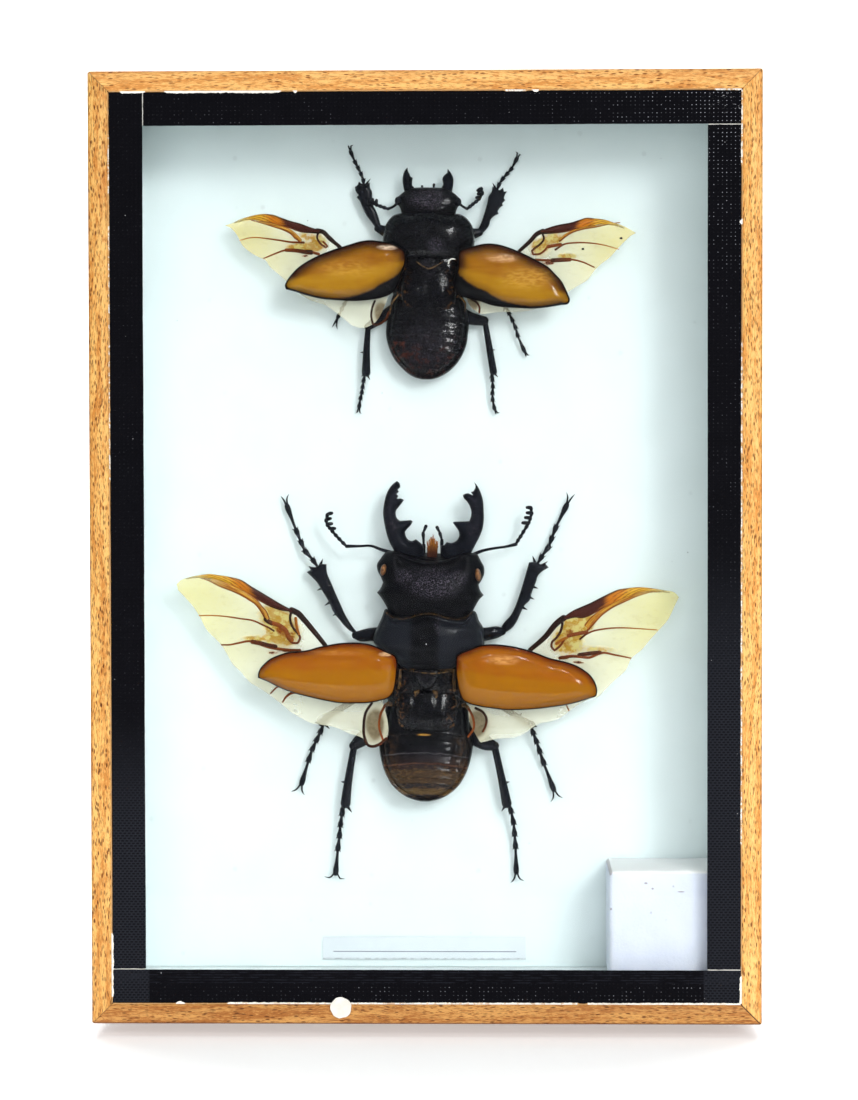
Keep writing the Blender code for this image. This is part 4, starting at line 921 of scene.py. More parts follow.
def membrane_look(name, straw, golden, grey):
    """A see-through wing skin: pale straw, golden and brown near the joint, greyer where it folds at its root, a grey
    that is partly the folded layers and partly painted shade from the wing case.
    """
    def wire(w):
        spot = w.attribute("spot", "Vector")
        crease = w.noise(w.stretched(spot, (0.5, 0.9, 0.5)), 1.0, 4.0, 0.65)
        torn = w.times(w.minus(w.noise(spot, 1.1, 3.0, 0.65), 0.5), 0.9)

        def stain(name, low, high):
            amount = w.attribute(name)
            rough = w.plus(amount, w.times(torn, w.step(amount, 0.05, 0.4)))
            return w.step(rough, low, high)

        gold, brown = stain("gold", 0.12, 0.6), stain("brown", 0.3, 0.75)
        fold = w.step(w.attribute("fold"), 0.2, 0.75)
        outer = w.step(w.plus(w.attribute("along"), w.times(torn, 0.1)), 0.35, 1.0)
        base = w.mix(outer, (0.97, 0.95, 0.72, 1.0), straw)
        base = w.mix(w.step(crease, 0.52, 0.72, 0.0, 0.12), base, golden)
        base = w.mix(w.times(gold, w.step(crease, 0.3, 0.62, 0.9, 1.0)), base, golden)
        base = w.mix(w.times(gold, w.step(w.noise(spot, 0.6, 3.0, 0.6), 0.46, 0.6, 0.0, 0.8)), base,
                     colour(202, 192, 118))
        base = w.mix(brown, base, colour(112, 52, 8))
        # Folded parts greyed: partly the doubled skin, partly painted shade cast by the wing case.
        base = w.mix(fold, base, w.mix(w.noise(spot, 1.2, 3.0, 0.6), grey, colour(150, 138, 108)))
        thicker = w.plus(w.times(gold, 0.5), w.plus(w.times(brown, 0.5), w.times(fold, 0.5)))
        alpha = w.plus(w.madd(outer, 0.16, 0.27), thicker, clamp=True)
        return {"Base Color": base, "Alpha": alpha, "Height": (crease, 0.15, 0.0001)}
    return finish(name, wire, Roughness=0.38, Specular_IOR_Level=0.1)


MALE_MEMBRANE = membrane_look("male_wing_membrane", colour(233, 223, 142), colour(172, 132, 36),
                              colour(84, 70, 50))
FEMALE_MEMBRANE = membrane_look("female_wing_membrane", colour(232, 217, 130), colour(172, 128, 34),
                                colour(90, 74, 52))


def front_field_look(name, dark_until, orange_until, ochre_until):
    """The wing's front field: dark brown near its joint, then orange, streaky ochre, and straw at the tip."""
    def wire(w):
        along, across = w.attribute("along"), w.attribute("across")
        run = w.node("ShaderNodeCombineXYZ", {"X": w.times(along, 5.0), "Y": w.times(across, 5.0),
                                              "Z": w.xyz(w.attribute("spot", "Vector"))[0]})
        streak = w.noise(w.stretched(run, (1.0, 1.6, 0.02)), 1.0, 4.0, 0.7)
        reach = w.plus(along, w.times(w.minus(streak, 0.5), 0.3))
        reach = w.plus(reach, w.times(across, 0.06))
        base = w.mix(w.step(reach, dark_until - 0.07, dark_until + 0.03), colour(62, 18, 6), colour(188, 108, 8))
        base = w.mix(w.step(reach, orange_until - 0.08, orange_until + 0.06), base, colour(208, 158, 42))
        base = w.mix(w.step(reach, ochre_until, 0.98), base, colour(222, 204, 130))
        wave = w.plus(w.times(across, 17.0), w.plus(w.times(along, 56.0), w.times(streak, 7.0)))
        fine = w.times(w.step(w.math("SINE", wave), 0.2, 0.95), w.step(reach, dark_until, dark_until + 0.1))
        base = w.mix(w.times(fine, 0.8), base, colour(112, 56, 6))
        lead = w.step(across, 0.26, 0.02)
        base = w.mix(w.times(lead, w.step(reach, ochre_until, dark_until)), base, colour(26, 12, 8))
        alpha = w.step(along, ochre_until, 1.0, 0.95, 0.4)
        return {"Base Color": base, "Alpha": alpha, "Height": (streak, 0.35, 0.00012)}
    return finish(name, wire, Roughness=0.35, Specular_IOR_Level=0.25)


def wire_gold_band(w):
    """The golden band behind the front field, streaked along its length."""
    along, across = w.attribute("along"), w.attribute("across")
    run = w.node("ShaderNodeCombineXYZ", {"X": w.times(along, 5.0), "Y": w.times(across, 3.0)})
    streak = w.noise(w.stretched(run, (0.8, 2.0, 1.0)), 1.0, 4.0, 0.7)
    base = w.mix(w.step(streak, 0.4, 0.62), colour(142, 78, 10), colour(208, 158, 52))
    base = w.mix(w.times(w.step(across, 0.62, 0.95), 0.85), base, colour(140, 66, 8))
    base = w.mix(w.times(w.step(across, 0.2, 0.0), 0.6), base, colour(150, 78, 12))
    base = w.mix(w.step(along, 0.6, 1.0, 0.0, 0.8), base, colour(220, 184, 104))
    return {"Base Color": base, "Alpha": w.step(along, 0.55, 1.0, 0.9, 0.35), "Height": (streak, 0.3, 0.0001)}


GOLD_BAND = finish("wing_gold_band", wire_gold_band, Roughness=0.36, Specular_IOR_Level=0.25)
MALE_FRONT_FIELD = front_field_look("male_wing_front_field", 0.46, 0.62, 0.8)
FEMALE_FRONT_FIELD = front_field_look("female_wing_front_field", 0.5, 0.66, 0.82)


def wire_vein(w):
    spot = w.attribute("spot", "Vector")
    fade = w.attribute("fade")
    mottle = w.noise(spot, 1.6, 3.0, 0.6)
    shade = w.plus(fade, w.times(w.minus(mottle, 0.5), 0.3))
    base = w.mix(w.step(shade, 0.02, 0.4), colour(30, 10, 4), colour(112, 50, 8))
    base = w.mix(w.step(shade, 0.45, 1.05), base, colour(168, 102, 26))
    return {"Base Color": base, "Height": (mottle, 0.3, 0.0001)}


WING_VEIN = finish("wing_vein", wire_vein, Roughness=0.4, Specular_IOR_Level=0.2)


# ---------------------------------------------------------------- the case

def dress_case():
    for name, look in (("glass_pane", CLEAR_GLASS), ("back_board", BACK_BOARD), ("label_slip", LABEL_SLIP)):
        nodes[name].material_slots[0].material = look


def make_rails():
    """The four mitred rails, rebated for the glass and the back board, with eased edges and corners."""
    front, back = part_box("bottom_rail")[0].y / MM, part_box("bottom_rail")[1].y / MM
    ledge, back_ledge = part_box("glass_pane")[1].y / MM + 0.3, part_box("back_board")[0].y / MM - 0.3
    side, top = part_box("right_rail")[1].x / MM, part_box("top_rail")[1].z / MM
    lip, wall = 4.4, 8.0
    profile = [(front + 0.6, 0.0), (front + 0.18, 0.18), (front, 0.6), (front, lip - 0.12), (front + 0.12, lip),
               (ledge, lip), (ledge, wall), (back_ledge, wall), (back_ledge, lip), (back, lip), (back, 0.6),
               (back - 0.18, 0.18), (back - 0.6, 0.0)]
    for name, length, place, turn, look in (("bottom_rail", 2 * side, (0, 0, 0), 0, OAK_BOTTOM_SHADED),
                                            ("top_rail", 2 * side, (0, 0, top), 180, OAK_TOP_LIT),
                                            ("left_rail", top, (-side, 0, top / 2), 90, OAK_LEFT_SHADED),
                                            ("right_rail", top, (side, 0, top / 2), -90, OAK_RIGHT_LIT)):
        def ring(hand, short, pulled):
            return [(hand * (length / 2 - max(inward, pulled) - short - 0.03), depth, max(inward, pulled))
                    for depth, inward in profile]
        ends = ((0.0, 0.16), (0.2, 0.05), (0.5, 0.0))
        bm = sweep(bmesh.new(), [ring(-1, *end) for end in ends] + [ring(1, *end) for end in reversed(ends)])
        bm.transform(Matrix.Scale(MM, 4) @ Matrix.Translation(place) @ Matrix.Rotation(math.radians(turn), 4, "Y"))
        add_piece(name.replace("rail", "oak_rail"), bm, look, name, smooth_below=50)


def block(low, high):
    bm = bmesh.new()
    bmesh.ops.create_cube(bm, size=1.0)
    bmesh.ops.scale(bm, vec=high - low, verts=bm.verts)
    bmesh.ops.translate(bm, vec=(high + low) / 2, verts=bm.verts)
    return bm


def cut_across(bm, axis, low, high, count):
    """Cuts a block into count equal lengths along an axis."""
    normal = Vector((0, 0, 0))
    normal[axis] = 1
    for step in range(1, count):
        bmesh.ops.bisect_plane(bm, geom=[*bm.verts, *bm.edges, *bm.faces], dist=1e-7, plane_no=normal,
                               plane_co=normal * (low[axis] + (high[axis] - low[axis]) * step / count))


def slab(name, node, look, grown, edge, cell, wander):
    """A block in the place of a CAD one, with soft edges and slightly uneven faces; all sizes in millimetres."""
    low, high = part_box(node)
    low, high = low - Vector((grown, 0, grown)) * MM, high + Vector((grown, 0, grown)) * MM
    bm = block(low, high)
    bmesh.ops.bevel(bm, geom=bm.edges[:], offset=edge * MM, segments=4, profile=0.5, affect="EDGES", material=-1)
    for axis in range(3):
        cut_across(bm, axis, low, high, round((high[axis] - low[axis]) / (cell * MM)))
    bm.normal_update()
    for vert in bm.verts:
        vert.co -= vert.normal * wander * MM * (1.0 + grain(vert.co, 0.004) + 0.6 * grain(vert.co, 0.0015))
    add_piece(name, bm, look, node, smooth_below=60)


def tape_strip(name, long_axis):
    """One strip of tape, cut by hand: its long edges wander and its ends fray."""
    fray = 0.12 * MM
    low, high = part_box(name)
    short_axis = 2 - long_axis
    steps = round((high[long_axis] - low[long_axis]) / (0.5 * MM))
    bm = block(low, high)
    cut_across(bm, long_axis, low, high, steps)
    cut_across(bm, short_axis, low, high, 8)
    for vert in bm.verts:
        inward = min(vert.co[short_axis] - low[short_axis], high[short_axis] - vert.co[short_axis])
        side = 1 if vert.co[short_axis] < (low[short_axis] + high[short_axis]) / 2 else -1
        spot = Vector((vert.co[long_axis], side * 0.01, 0.0))
        wander = 0.6 * (grain(spot, 0.018) + 1) / 2 + 0.4 * (grain(spot, 0.0016) + 1) / 2
        vert.co[short_axis] += side * fray * wander * (1 - ease(inward, 0.0, 1.5 * MM))
        from_start, from_end = vert.co[long_axis] - low[long_axis], high[long_axis] - vert.co[long_axis]
        near_end = 1 - ease(min(from_start, from_end), 0, MM)
        ragged = fray * (grain((0, 0, vert.co[short_axis]), 0.0007) + 1) * near_end
        vert.co[long_axis] += ragged if from_end < from_start else -ragged
        vert.co.y += 0.03 * MM * grain(vert.co, 0.006)
    add_piece(f"{name}_strip", bm, BLACK_TAPE, name, smooth_below=35)


def make_paper_trim():
    """The tape's white liner that shows along its outer edge: a thin torn line, broader and whiter in places."""
    low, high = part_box("glass_pane")
    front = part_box("left_tape")[0].y - 0.03 * MM
    torn = {"top": [(-66.6, -61.3, 1.0), (-56.8, -31.6, 1.1), (-28.6, -28.0, 1.6), (17.5, 22.5, 0.7),
                    (23.8, 25.0, 1.5), (63.5, 69.3, 0.55)],
            "bottom": [(-55.2, -53.6, 1.4), (-43.9, -16.0, 0.75), (-15.9, 33.6, 0.7), (35.4, 69.3, 0.8)],
            "left": [(6.0, 20.0, 0.8), (120.0, 196.0, 0.28)],
            "right": [(3.9, 10.6, 1.1), (40.0, 150.0, 0.42), (176.0, 177.0, 1.4), (189.0, 205.3, 0.5)]}
    for number, (name, patches) in enumerate(torn.items()):
        upright = name in ("left", "right")
        edge = {"top": high.z, "bottom": low.z, "left": low.x, "right": high.x}[name]
        hand = 1 if name in ("top", "right") else -1
        start, end = (low.z, high.z) if upright else (low.x, high.x)
        count = round((end - start) / (0.18 * MM))
        rings, bareness = [], []
        for step in range(count + 1):
            run = start + (end - start) * step / count
            bare = max([strength * ease(run / MM, first - 0.4, first + 0.4) * ease(run / MM, last + 0.4, last - 0.4)
                        for first, last, strength in patches])
            rough = (0.6 * (grain((run, number, 1.0), 0.0011) + 1) + 0.5 * (grain((run, number, 9.0), 0.00045) + 1)
                     + 0.5 * (grain((run, number, 4.0), 0.006) + 1)) / 2
            outer = edge + hand * 0.26 * MM
            inner = edge + hand * (0.16 - (0.1 + 0.34 * bare) * rough) * MM
            corners = [(outer, front), (inner, front), (inner, front + 0.05 * MM), (outer, front + 0.05 * MM)]
            rings.append([(across, y, run) if upright else (run, y, across) for across, y in corners])
            bareness.append(bare)
        bm = sweep(bmesh.new(), rings)
        layer = bm.verts.layers.float.new("bare")
        for vert in bm.verts:
            run = vert.co.z if upright else vert.co.x
            vert[layer] = bareness[round((run - start) / (end - start) * count)]
        add_piece(f"{name}_liner_edge", bm, PAPER_EDGE, f"{name}_tape", smooth_below=30)


def make_joint_paper():
    """The white liner that shows along the four butt joints of the tape."""
    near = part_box("left_tape")[1].y + 0.05 * MM
    far = near + 0.15 * MM
    left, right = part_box("left_tape"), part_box("right_tape")
    top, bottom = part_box("top_tape"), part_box("bottom_tape")
    joints = {"left_tape": ((left[1].x, top[0].z + 0.2 * MM), (left[1].x, top[1].z)),
              "right_tape": ((right[0].x + 0.2 * MM, top[0].z), (right[1].x, top[0].z)),
              "bottom_tape": ((left[0].x, bottom[1].z), (left[1].x - 0.2 * MM, bottom[1].z)),
              "top_tape": ((right[0].x + 0.2 * MM, bottom[1].z), (right[1].x, bottom[1].z))}
    for node, (start, end) in joints.items():
        start, end = Vector(start), Vector(end)
        along = (end - start).normalized()
        side = Vector((-along.y, along.x)) * 0.7 * MM
        rings = []
        for step in range(17):
            spot = start.lerp(end, step / 16)
            rings.append([((spot + side).x, near, (spot + side).y), ((spot - side).x, near, (spot - side).y),
                          ((spot - side).x, far, (spot - side).y), ((spot + side).x, far, (spot + side).y)])
        add_piece(node.replace("tape", "joint_paper"), sweep(bmesh.new(), rings), WHITE_PAPER,
                  node, smooth_below=30)


def make_tape():
    for name, axis in (("left", 2), ("top", 0), ("right", 2), ("bottom", 0)):
        tape_strip(f"{name}_tape", axis)
    make_paper_trim()
    make_joint_paper()


def make_dab():
    """The white dab on the bottom rail: roughly round, cut with a few corners."""
    low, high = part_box("white_dab")
    centre, radius = (low + high) / 2, (high.x - low.x) / 2
    rings = []
    for depth, share in ((0.0, 0.9), (0.0, 0.97), (0.3, 1.0), (0.8, 1.0), (1.0, 0.95), (1.0, 0.6), (0.92, 0.2)):
        ring = []
        for step in range(96):
            turn = 2 * math.pi * step / 96
            uneven = grain((math.cos(turn), math.sin(turn), 3.0), 0.3) + 1
            cut = 1.0 - 0.05 * max(0.0, math.cos(5 * turn + 0.6)) - 0.02 * uneven
            ring.append((centre.x + radius * share * cut * math.cos(turn), high.y + (low.y - high.y) * depth,
                         centre.z + radius * share * cut * math.sin(turn)))
        rings.append(ring)
    add_piece("paper_dab", sweep(bmesh.new(), rings), PAPER_DAB, "white_dab", smooth_below=35)


# ---------------------------------------------------------------- wings

# The height at a wing's root and at its tip, its crown, its looks, and a wing case's slot.
WING_CASES = {"male": (13.7, 15.6, 2.6, MALE_ELYTRON_LOOK, "elytron_brown"),
              "female": (10.4, 12.2, 2.2, FEMALE_ELYTRON_LOOK, "elytron_ochre")}
HINDWINGS = {"male": (9.9, 8.8, 0.4, MALE_MEMBRANE, MALE_FRONT_FIELD),
             "female": (7.6, 6.9, 0.3, FEMALE_MEMBRANE, FEMALE_FRONT_FIELD)}


def wing_case(beetle, side_name, outline, shoulder, suture=()):
    """A hard wing case: a thin domed shell with a bead along its rim."""
    root_height, tip_height, crown, look, slot = WING_CASES[beetle]
    side, thickness = (-1 if side_name == "left" else 1), 0.5
    outline = smooth(outline, 0.55, True, 60)
    near, far = min(abs(point.x) for point in outline), max(abs(point.x) for point in outline)
    tip = max(outline, key=lambda point: abs(point.x))
    rooted = [point for point in outline if abs(point.x) < near + 3]
    root = Vector((side * near, sum(point.y for point in rooted) / len(rooted)))
    start, end = root.lerp(tip, 0.2), root.lerp(tip, 0.8)
    tree = tree_of(outline)
    back_line = smooth(suture, 0.3) if suture else ()

    def ring(share, under):
        points = []
        for point in outline:
            along = max(0.0, min(1.0, (point - start).dot(end - start) / (end - start).length_squared))
            spot = start.lerp(end, along).lerp(point, share)
            base = root_height + (tip_height - root_height) * (abs(spot.x) - near) / (far - near)
            inward = edge_distance(tree, spot.x, spot.y)
            height = base + crown * (1 - share ** 3.2)
            if under:
                height -= thickness * 0.5
            else:
                height += thickness * 0.5 + 0.10 * hump(inward, 0.25, 0.22) - 0.10 * hump(inward, 0.75, 0.3)
                height += shoulder[3] * math.exp(-((spot.x - shoulder[0]) / shoulder[2]) ** 2
                                                 - ((spot.y - shoulder[1]) / (shoulder[2] * 0.6)) ** 2)
                height += 0.05 * grain((spot.x, spot.y, side), 3.5)
            points.append((spot.x, spot.y, height))
        return points

    shares = (1.0, 0.985, 0.97, 0.95, 0.92, 0.88, 0.83, 0.77, 0.7, 0.62, 0.53, 0.43, 0.32, 0.2, 0.08)
    rings = [ring(share, True) for share in reversed(shares)] + [ring(share, False) for share in shares]
    bm = sweep(bmesh.new(), rings)
    rim = bm.verts.layers.float.new("rim")
    front = bm.verts.layers.float.new("front")
    past = bm.verts.layers.float.new("suture")
    for vert in bm.verts:
        vert[rim] = edge_distance(tree, vert.co.x, vert.co.y)
        level = root.y + (tip.y - root.y) * (abs(vert.co.x) - near) / (far - near)
        vert[front] = ease(vert.co.y - level, 0.5, 2.0)
        if back_line:
            nearest = min(back_line, key=lambda point: (point.x - vert.co.x) ** 2 + (point.y - vert.co.y) ** 2)
            apart = math.hypot(nearest.x - vert.co.x, nearest.y - vert.co.y)
            vert[past] = apart if vert.co.y < nearest.y else -apart
    add_piece(f"{beetle}_{side_name}_wing_case", bm, look, f"{beetle}_{side_name}_elytron", PLACES[beetle], 60)


def wing_height(root_height, tip_height, crown, near, far, seed):
    """The height of a hindwing's skin over the board, with its soft creases."""
    def height(x, y):
        along = (abs(x) - near) / (far - near)
        crease = 0.18 * grain((x * 0.5, y * 1.2, seed), 4.0) + 0.06 * math.sin(y * 1.1 + abs(x) * 0.35)
        return root_height + (tip_height - root_height) * along + crown * 0.7 + crease * ease(along, 0.1, 0.5)
    return height


def hindwing(beetle, side_name, lead, trail, field_edge, band_edge, veins, gold, brown, fold):
    """A hindwing: its skin, its thick front field, the golden band behind that, and its veins.

    Veins are (points, thickness at the root, thickness at the tip, how pale at the root, how pale at the tip).
    The gold, brown and folded parts of the skin are soft spots: (x, y, reach in x, reach in y, strength); the folded
    spots' grey is partly painted shade from the wing cases.
    """
    *lie, skin_look, field_look = HINDWINGS[beetle]
    lead, trail = smooth(lead, 0.5), smooth(trail, 0.5)
    far = max(abs(point.x) for point in lead)
    near = min(abs(point.x) for point in [*lead, *trail])
    height = wing_height(*lie, near, far, 3.0 if side_name == "left" else 9.0)

    def wing_part(part, bm, look):
        add_piece(f"{beetle}_{side_name}_wing_{part}", bm, look, f"{beetle}_{side_name}_hindwing",
                  PLACES[beetle], 60)

    def skin(part, first, second, columns, rows, lift, arch, thickness, look, **stains):
        first, second = spread(first, columns + 1), spread(second, columns + 1)
        bm = bmesh.new()
        bmesh.ops.create_grid(bm, x_segments=columns, y_segments=rows, size=0.5)
        along, across = bm.verts.layers.float.new("along"), bm.verts.layers.float.new("across")
        layers = {key: bm.verts.layers.float.new(key) for key in stains}
        for vert in bm.verts:
            u, v = vert.co.x + 0.5, vert.co.y + 0.5
            column = round(u * columns)
            spot = first[column].lerp(second[column], v)
            vert[along], vert[across] = u, v
            for key, blots in stains.items():
                amount = sum(strength * math.exp(-((spot.x - x) / rx) ** 2 - ((spot.y - y) / ry) ** 2)
                             for x, y, rx, ry, strength in blots)
                vert[layers[key]] = min(1.0, amount)
            vert.co = (spot.x, spot.y, height(spot.x, spot.y) + lift + arch * math.sin(math.pi * v))
        bmesh.ops.remove_doubles(bm, verts=bm.verts, dist=0.01)
        upper = bmesh.ops.extrude_face_region(bm, geom=bm.faces[:], use_keep_orig=True)["geom"]
        bmesh.ops.translate(bm, vec=(0, 0, thickness),
                            verts=[part for part in upper if isinstance(part, bmesh.types.BMVert)])
        wing_part(part, bm, look)

    skin("skin", lead, trail, 110, 46, 0.0, 0.0, 0.08, skin_look, gold=gold, brown=brown, fold=fold)
    skin("front_field", *[smooth(edge, 0.4) for edge in field_edge], 90, 10, 0.1, 0.3, 0.16, field_look)
    skin("gold_band", *[smooth(edge, 0.4) for edge in band_edge], 90, 8, 0.08, 0.15, 0.1, GOLD_BAND)
    bm = bmesh.new()
    fade = bm.verts.layers.float.new("fade")
    for points, thick, thin, start_fade, end_fade in veins:
        thick, thin = thick * 1.5, thin * 1.7
        run = [(point.x, point.y) for point in smooth(points, 0.5)]
        count = len(run) - 1
        stations = [(x, y, height(x, y) + 0.08, thick + (thin - thick) * number / count)
                    for number, (x, y) in enumerate(run)]
        known = set(bm.verts)
        limb(bm, stations, 0.5, 8, 0.5)
        for vert in bm.verts:
            if vert not in known:
                share = min(range(count + 1), key=lambda number: (run[number][0] - vert.co.x) ** 2
                            + (run[number][1] - vert.co.y) ** 2) / count
                vert[fade] = start_fade + (end_fade - start_fade) * share
    wing_part("veins", bm, WING_VEIN)


# ---------------------------------------------------------------- bodies

def leg(beetle, part, femur, shin, spines, foot, claws, blade=None):
    """Thigh, shin with its thorns, five-jointed foot and two claws. A blade is a broad shin's outline and lie."""
    foot_size = FOOT_SIZES[beetle]
    bm = bmesh.new()
    limb(bm, femur, 0.4, 18, 0.8)
    if blade:
        plate(bm, *blade, 0.9, 0.3, 0.25)
    else:
        limb(bm, shin, 0.4, 14, 0.85)
    for tip in spines:
        nearest = None
        for first, second in zip(shin, shin[1:]):
            a, b, p = Vector(first[:2]), Vector(second[:2]), Vector(tip)
            share = max(0.0, min(1.0, (p - a).dot(b - a) / (b - a).length_squared))
            spot = a.lerp(b, share)
            if nearest is None or (p - spot).length < nearest[0]:
                nearest = ((p - spot).length, spot, first[2] + share * (second[2] - first[2]))
        spine(bm, nearest[1], tip, nearest[2], foot_size[1] * 0.75)
    knotted(bm, foot, shin[-1][2], FOOT_HEIGHT, *foot_size)
    for number, (start, end) in enumerate(zip(foot, foot[1:-1])):
        level = shin[-1][2] + (FOOT_HEIGHT - shin[-1][2]) * (number + 1) / (len(foot) - 1)
        along = (Vector(end) - Vector(start)).normalized()
        for side in (-1, 1):
            root = Vector(end) + Vector((-along.y, along.x)) * side * foot_size[1] * 0.5 - along * 0.2
            tip = root + along * foot_size[1] * 1.1 + Vector((-along.y, along.x)) * side * foot_size[1] * 0.55
            spine(bm, root, tip, level, foot_size[1] * 0.3, 0.1, 5)
    last, before = Vector(foot[-1]), Vector(foot[-2])
    for tip in claws:
        onward = (last - before).normalized()
        bend = last.lerp(Vector(tip), 0.5) + onward * 0.5
        limb(bm, [(*before.lerp(last, 0.9), FOOT_HEIGHT, 0.2), (*bend, 1.6, 0.17), (*tip, 1.0, 0.04)], 0.3, 8, 1.0)
    body_part(beetle, part, bm, LEG_SHELL)


def antenna(beetle, part, scape, beads, leaves, height):
    """A feeler: long first joint, beads past the elbow, and a club of leaves."""
    bm = bmesh.new()
    limb(bm, scape, 0.5, 10, 1.0)
    knotted(bm, beads, height, height - 0.2, 0.27, 0.48, 10)
    for root, tip in leaves:
        limb(bm, [(*root, height - 0.1, 0.4), (*Vector(root).lerp(Vector(tip), 0.4), height, 0.44),
                  (*Vector(root).lerp(Vector(tip), 0.68), height, 0.36)], 0.3, 10, 1.3)
    body_part(beetle, part, bm, LEG_SHELL)


def tree_around(stations):
    """The look-up of a body section's outline seen from above."""
    run = smooth(stations, 0.4)
    return tree_of([Vector((station[1], station[0])) for station in run]
                   + [Vector((station[2], station[0])) for station in reversed(run)])


def section_piece(beetle, part, look, stations, lift, shift=None, squareness=2.3, belly=0.42):
    """A body section whose upper side is raised by lift(x, y, distance to its outline)."""
    bm = body_section(bmesh.new(), stations, squareness, belly)
    tree = tree_around(stations)
    raised(bm, lambda x, y: lift(x, y, edge_distance(tree, x, y)))
    if shift:
        for vert in bm.verts:
            vert.co.y += shift(vert.co.x, vert.co.y)
    body_part(beetle, part, bm, look, 55)


def rows_step(level, borders, rise):
    """Overlapping plates: each one rises towards its hind border and drops there."""
    for front, hind in zip(borders, borders[1:]):
        if front >= level > hind:
            return rise * ((front - level) / (front - hind)) ** 1.6
    return 0.0


def plates_piece(beetle, part, look, outlines, height, thickness, reach):
    """Several plates as one piece of a beetle's body."""
    bm = bmesh.new()
    for outline in outlines:
        plate(bm, outline, height, thickness, reach)
    body_part(beetle, part, bm, look, 50)


# ---------------------------------------------------------------- the male

def make_male_body():
    def head_lift(x, y, d):
        arc = 24.15 - y
        front = ease(8.2 - abs(x), 0, 1.6)
        return (0.6 * hump(arc, 0.4, 0.5) * front - 0.75 * hump(arc, 2.1, 1.1) * front
                + 0.45 * hump(y, 18.2, 3) * hump(x, 0.6, 6.5) + 0.35 * hump(abs(x - 0.2), 8.5, 0.7) * ease(y, 19, 22)
                + (0.14 * grain((x, y, 2), 0.9) + 0.12 * grain((x, y, 5), 0.5)) * hump(x, 0.5, 9)
                - 0.35 * hump(abs(x), 6.8, 1.2) * hump(y, 14.6, 1.8))

    section_piece("male", "head", MALE_HEAD_SHELL,
        [(24.15, -8.4, 8.9, 5.6, 10), (24.05, -9.3, 9.8, 5, 11), (23.8, -10.1, 10.6, 4.6, 11.7),
         (22.5, -11.2, 11.4, 4.3, 12.2), (21.05, -12.1, 12.3, 4, 12.6), (20.4, -11.9, 12.3, 3.9, 12.8),
         (19.4, -11.1, 11.8, 3.8, 13), (18.6, -10.6, 11.1, 3.7, 13.2), (17.8, -11, 11.4, 3.6, 13.4),
         (16.6, -11.9, 12.3, 3.7, 13.4), (15.8, -11.2, 11.5, 3.8, 13.3), (14.5, -10.3, 10.7, 4, 13),
         (12.9, -9.4, 9.9, 4.3, 12.5), (11.6, -8.8, 9.2, 4.6, 12)], head_lift,
        lambda x, y: ease(y, 17, 23) * 0.036 * min(abs(x), 7.5) ** 2, 2.7)

    def pronotum_lift(x, y, d):
        return (0.20 * hump(d, 0.45, 0.28) - 0.14 * hump(d, 1, 0.4) - 0.22 * hump(x, 0.3, 0.5) * ease(y, 1.5, 4)
                * ease(11 - y, 0, 3) + 0.16 * grain((x, y, 1), 3.2) + 0.05 * grain((x, y, 8), 0.8)
                - 0.35 * hump(abs(x), 8.6, 1.6) * hump(y, 7, 1.6))

    section_piece("male", "pronotum", MALE_PRONOTUM_SHELL,
        [(13, -9.5, 10, 4.2, 12.2), (12.75, -10.1, 10.6, 3.7, 13), (12.2, -10.3, 10.9, 3.3, 13.5),
         (11, -10.7, 11.3, 3, 14.2), (9.35, -11.4, 12.3, 2.8, 14.9), (6.7, -12.4, 12.6, 2.7, 15.3),
         (5.4, -12.4, 12.7, 2.7, 15.2), (4.6, -11.8, 12, 2.7, 15), (3.1, -10.1, 10.5, 2.9, 14.4),
         (0.8, -6.9, 7.1, 3.2, 13.4), (0, -6.3, 6.3, 3.6, 12.9), (-0.4, -5.8, 5.9, 4.2, 12.1)], pronotum_lift,
        lambda x, y: -ease(y, 9, 12.6) * (1 - ease(abs(x), 8, 9.8)) * (1.9 - 1.3 * hump(x, 0, 3.6)), 2.5)

    section_piece("male", "thorax", THORAX_SHELL,
        [(2.5, -6.4, 6.4, 3, 10.2), (0.5, -8.4, 8.4, 1.9, 11), (-3, -9.2, 9.2, 1.6, 11.3),
         (-6.5, -9.2, 9.2, 1.5, 10.8), (-9.5, -8.8, 8.8, 1.8, 10)],
        lambda x, y, d: 0.25 * grain((x, y, 4), 1.6) - 0.8 * hump(x, -0.1, 1.5) * hump(y, -5.9, 0.8), None, 2.8)

    def back_lift(x, y, d):
        groove = hump(x, -0.3, 0.4) * ease(-y, 7.6, 9)
        return (-0.7 * groove - 0.4 * hump(abs(x + 0.3), 2.6, 0.5) * hump(y, -7.5, 1.5)
                + 0.35 * hump(abs(x + 0.3), 3.6, 1.8) * hump(y, -10.8, 2.4) + 0.15 * hump(d, 0.5, 0.4))

    section_piece("male", "hind_back", THORAX_SHELL,
        [(-5.3, -6, 6.2, 8, 10.4), (-5.8, -6.6, 6.8, 7.4, 11.2), (-7.4, -6.9, 7.1, 7, 11.7),
         (-10.4, -6.9, 7.1, 7, 11.9), (-13, -6.6, 6.9, 7, 11.6), (-14.1, -6.2, 6.5, 7.4, 11.1),
         (-14.5, -5.4, 5.8, 8, 10.6)], back_lift, None, 2.8, 0.3)

    borders = (-8, -14.8, -19.3, -21.5, -23.3, -24.9, -26.3, -27.9, -29.2, -31.5)

    def abdomen_lift(x, y, d):
        inside = ease(d, 1.1, 1.7)
        return (0.12 * hump(d, 0.4, 0.3) - 0.85 * hump(d, 1, 0.42)
                + inside * (rows_step(y + 0.012 * x * x, borders, 0.42) - 0.15
                            + 0.10 * grain((x, y * 2.2, 1), 1.4)) - 0.35 * inside * hump(abs(x), 6.9, 0.6)
                * ease(-y, 14, 17) * ease(y, -29.5, -27))

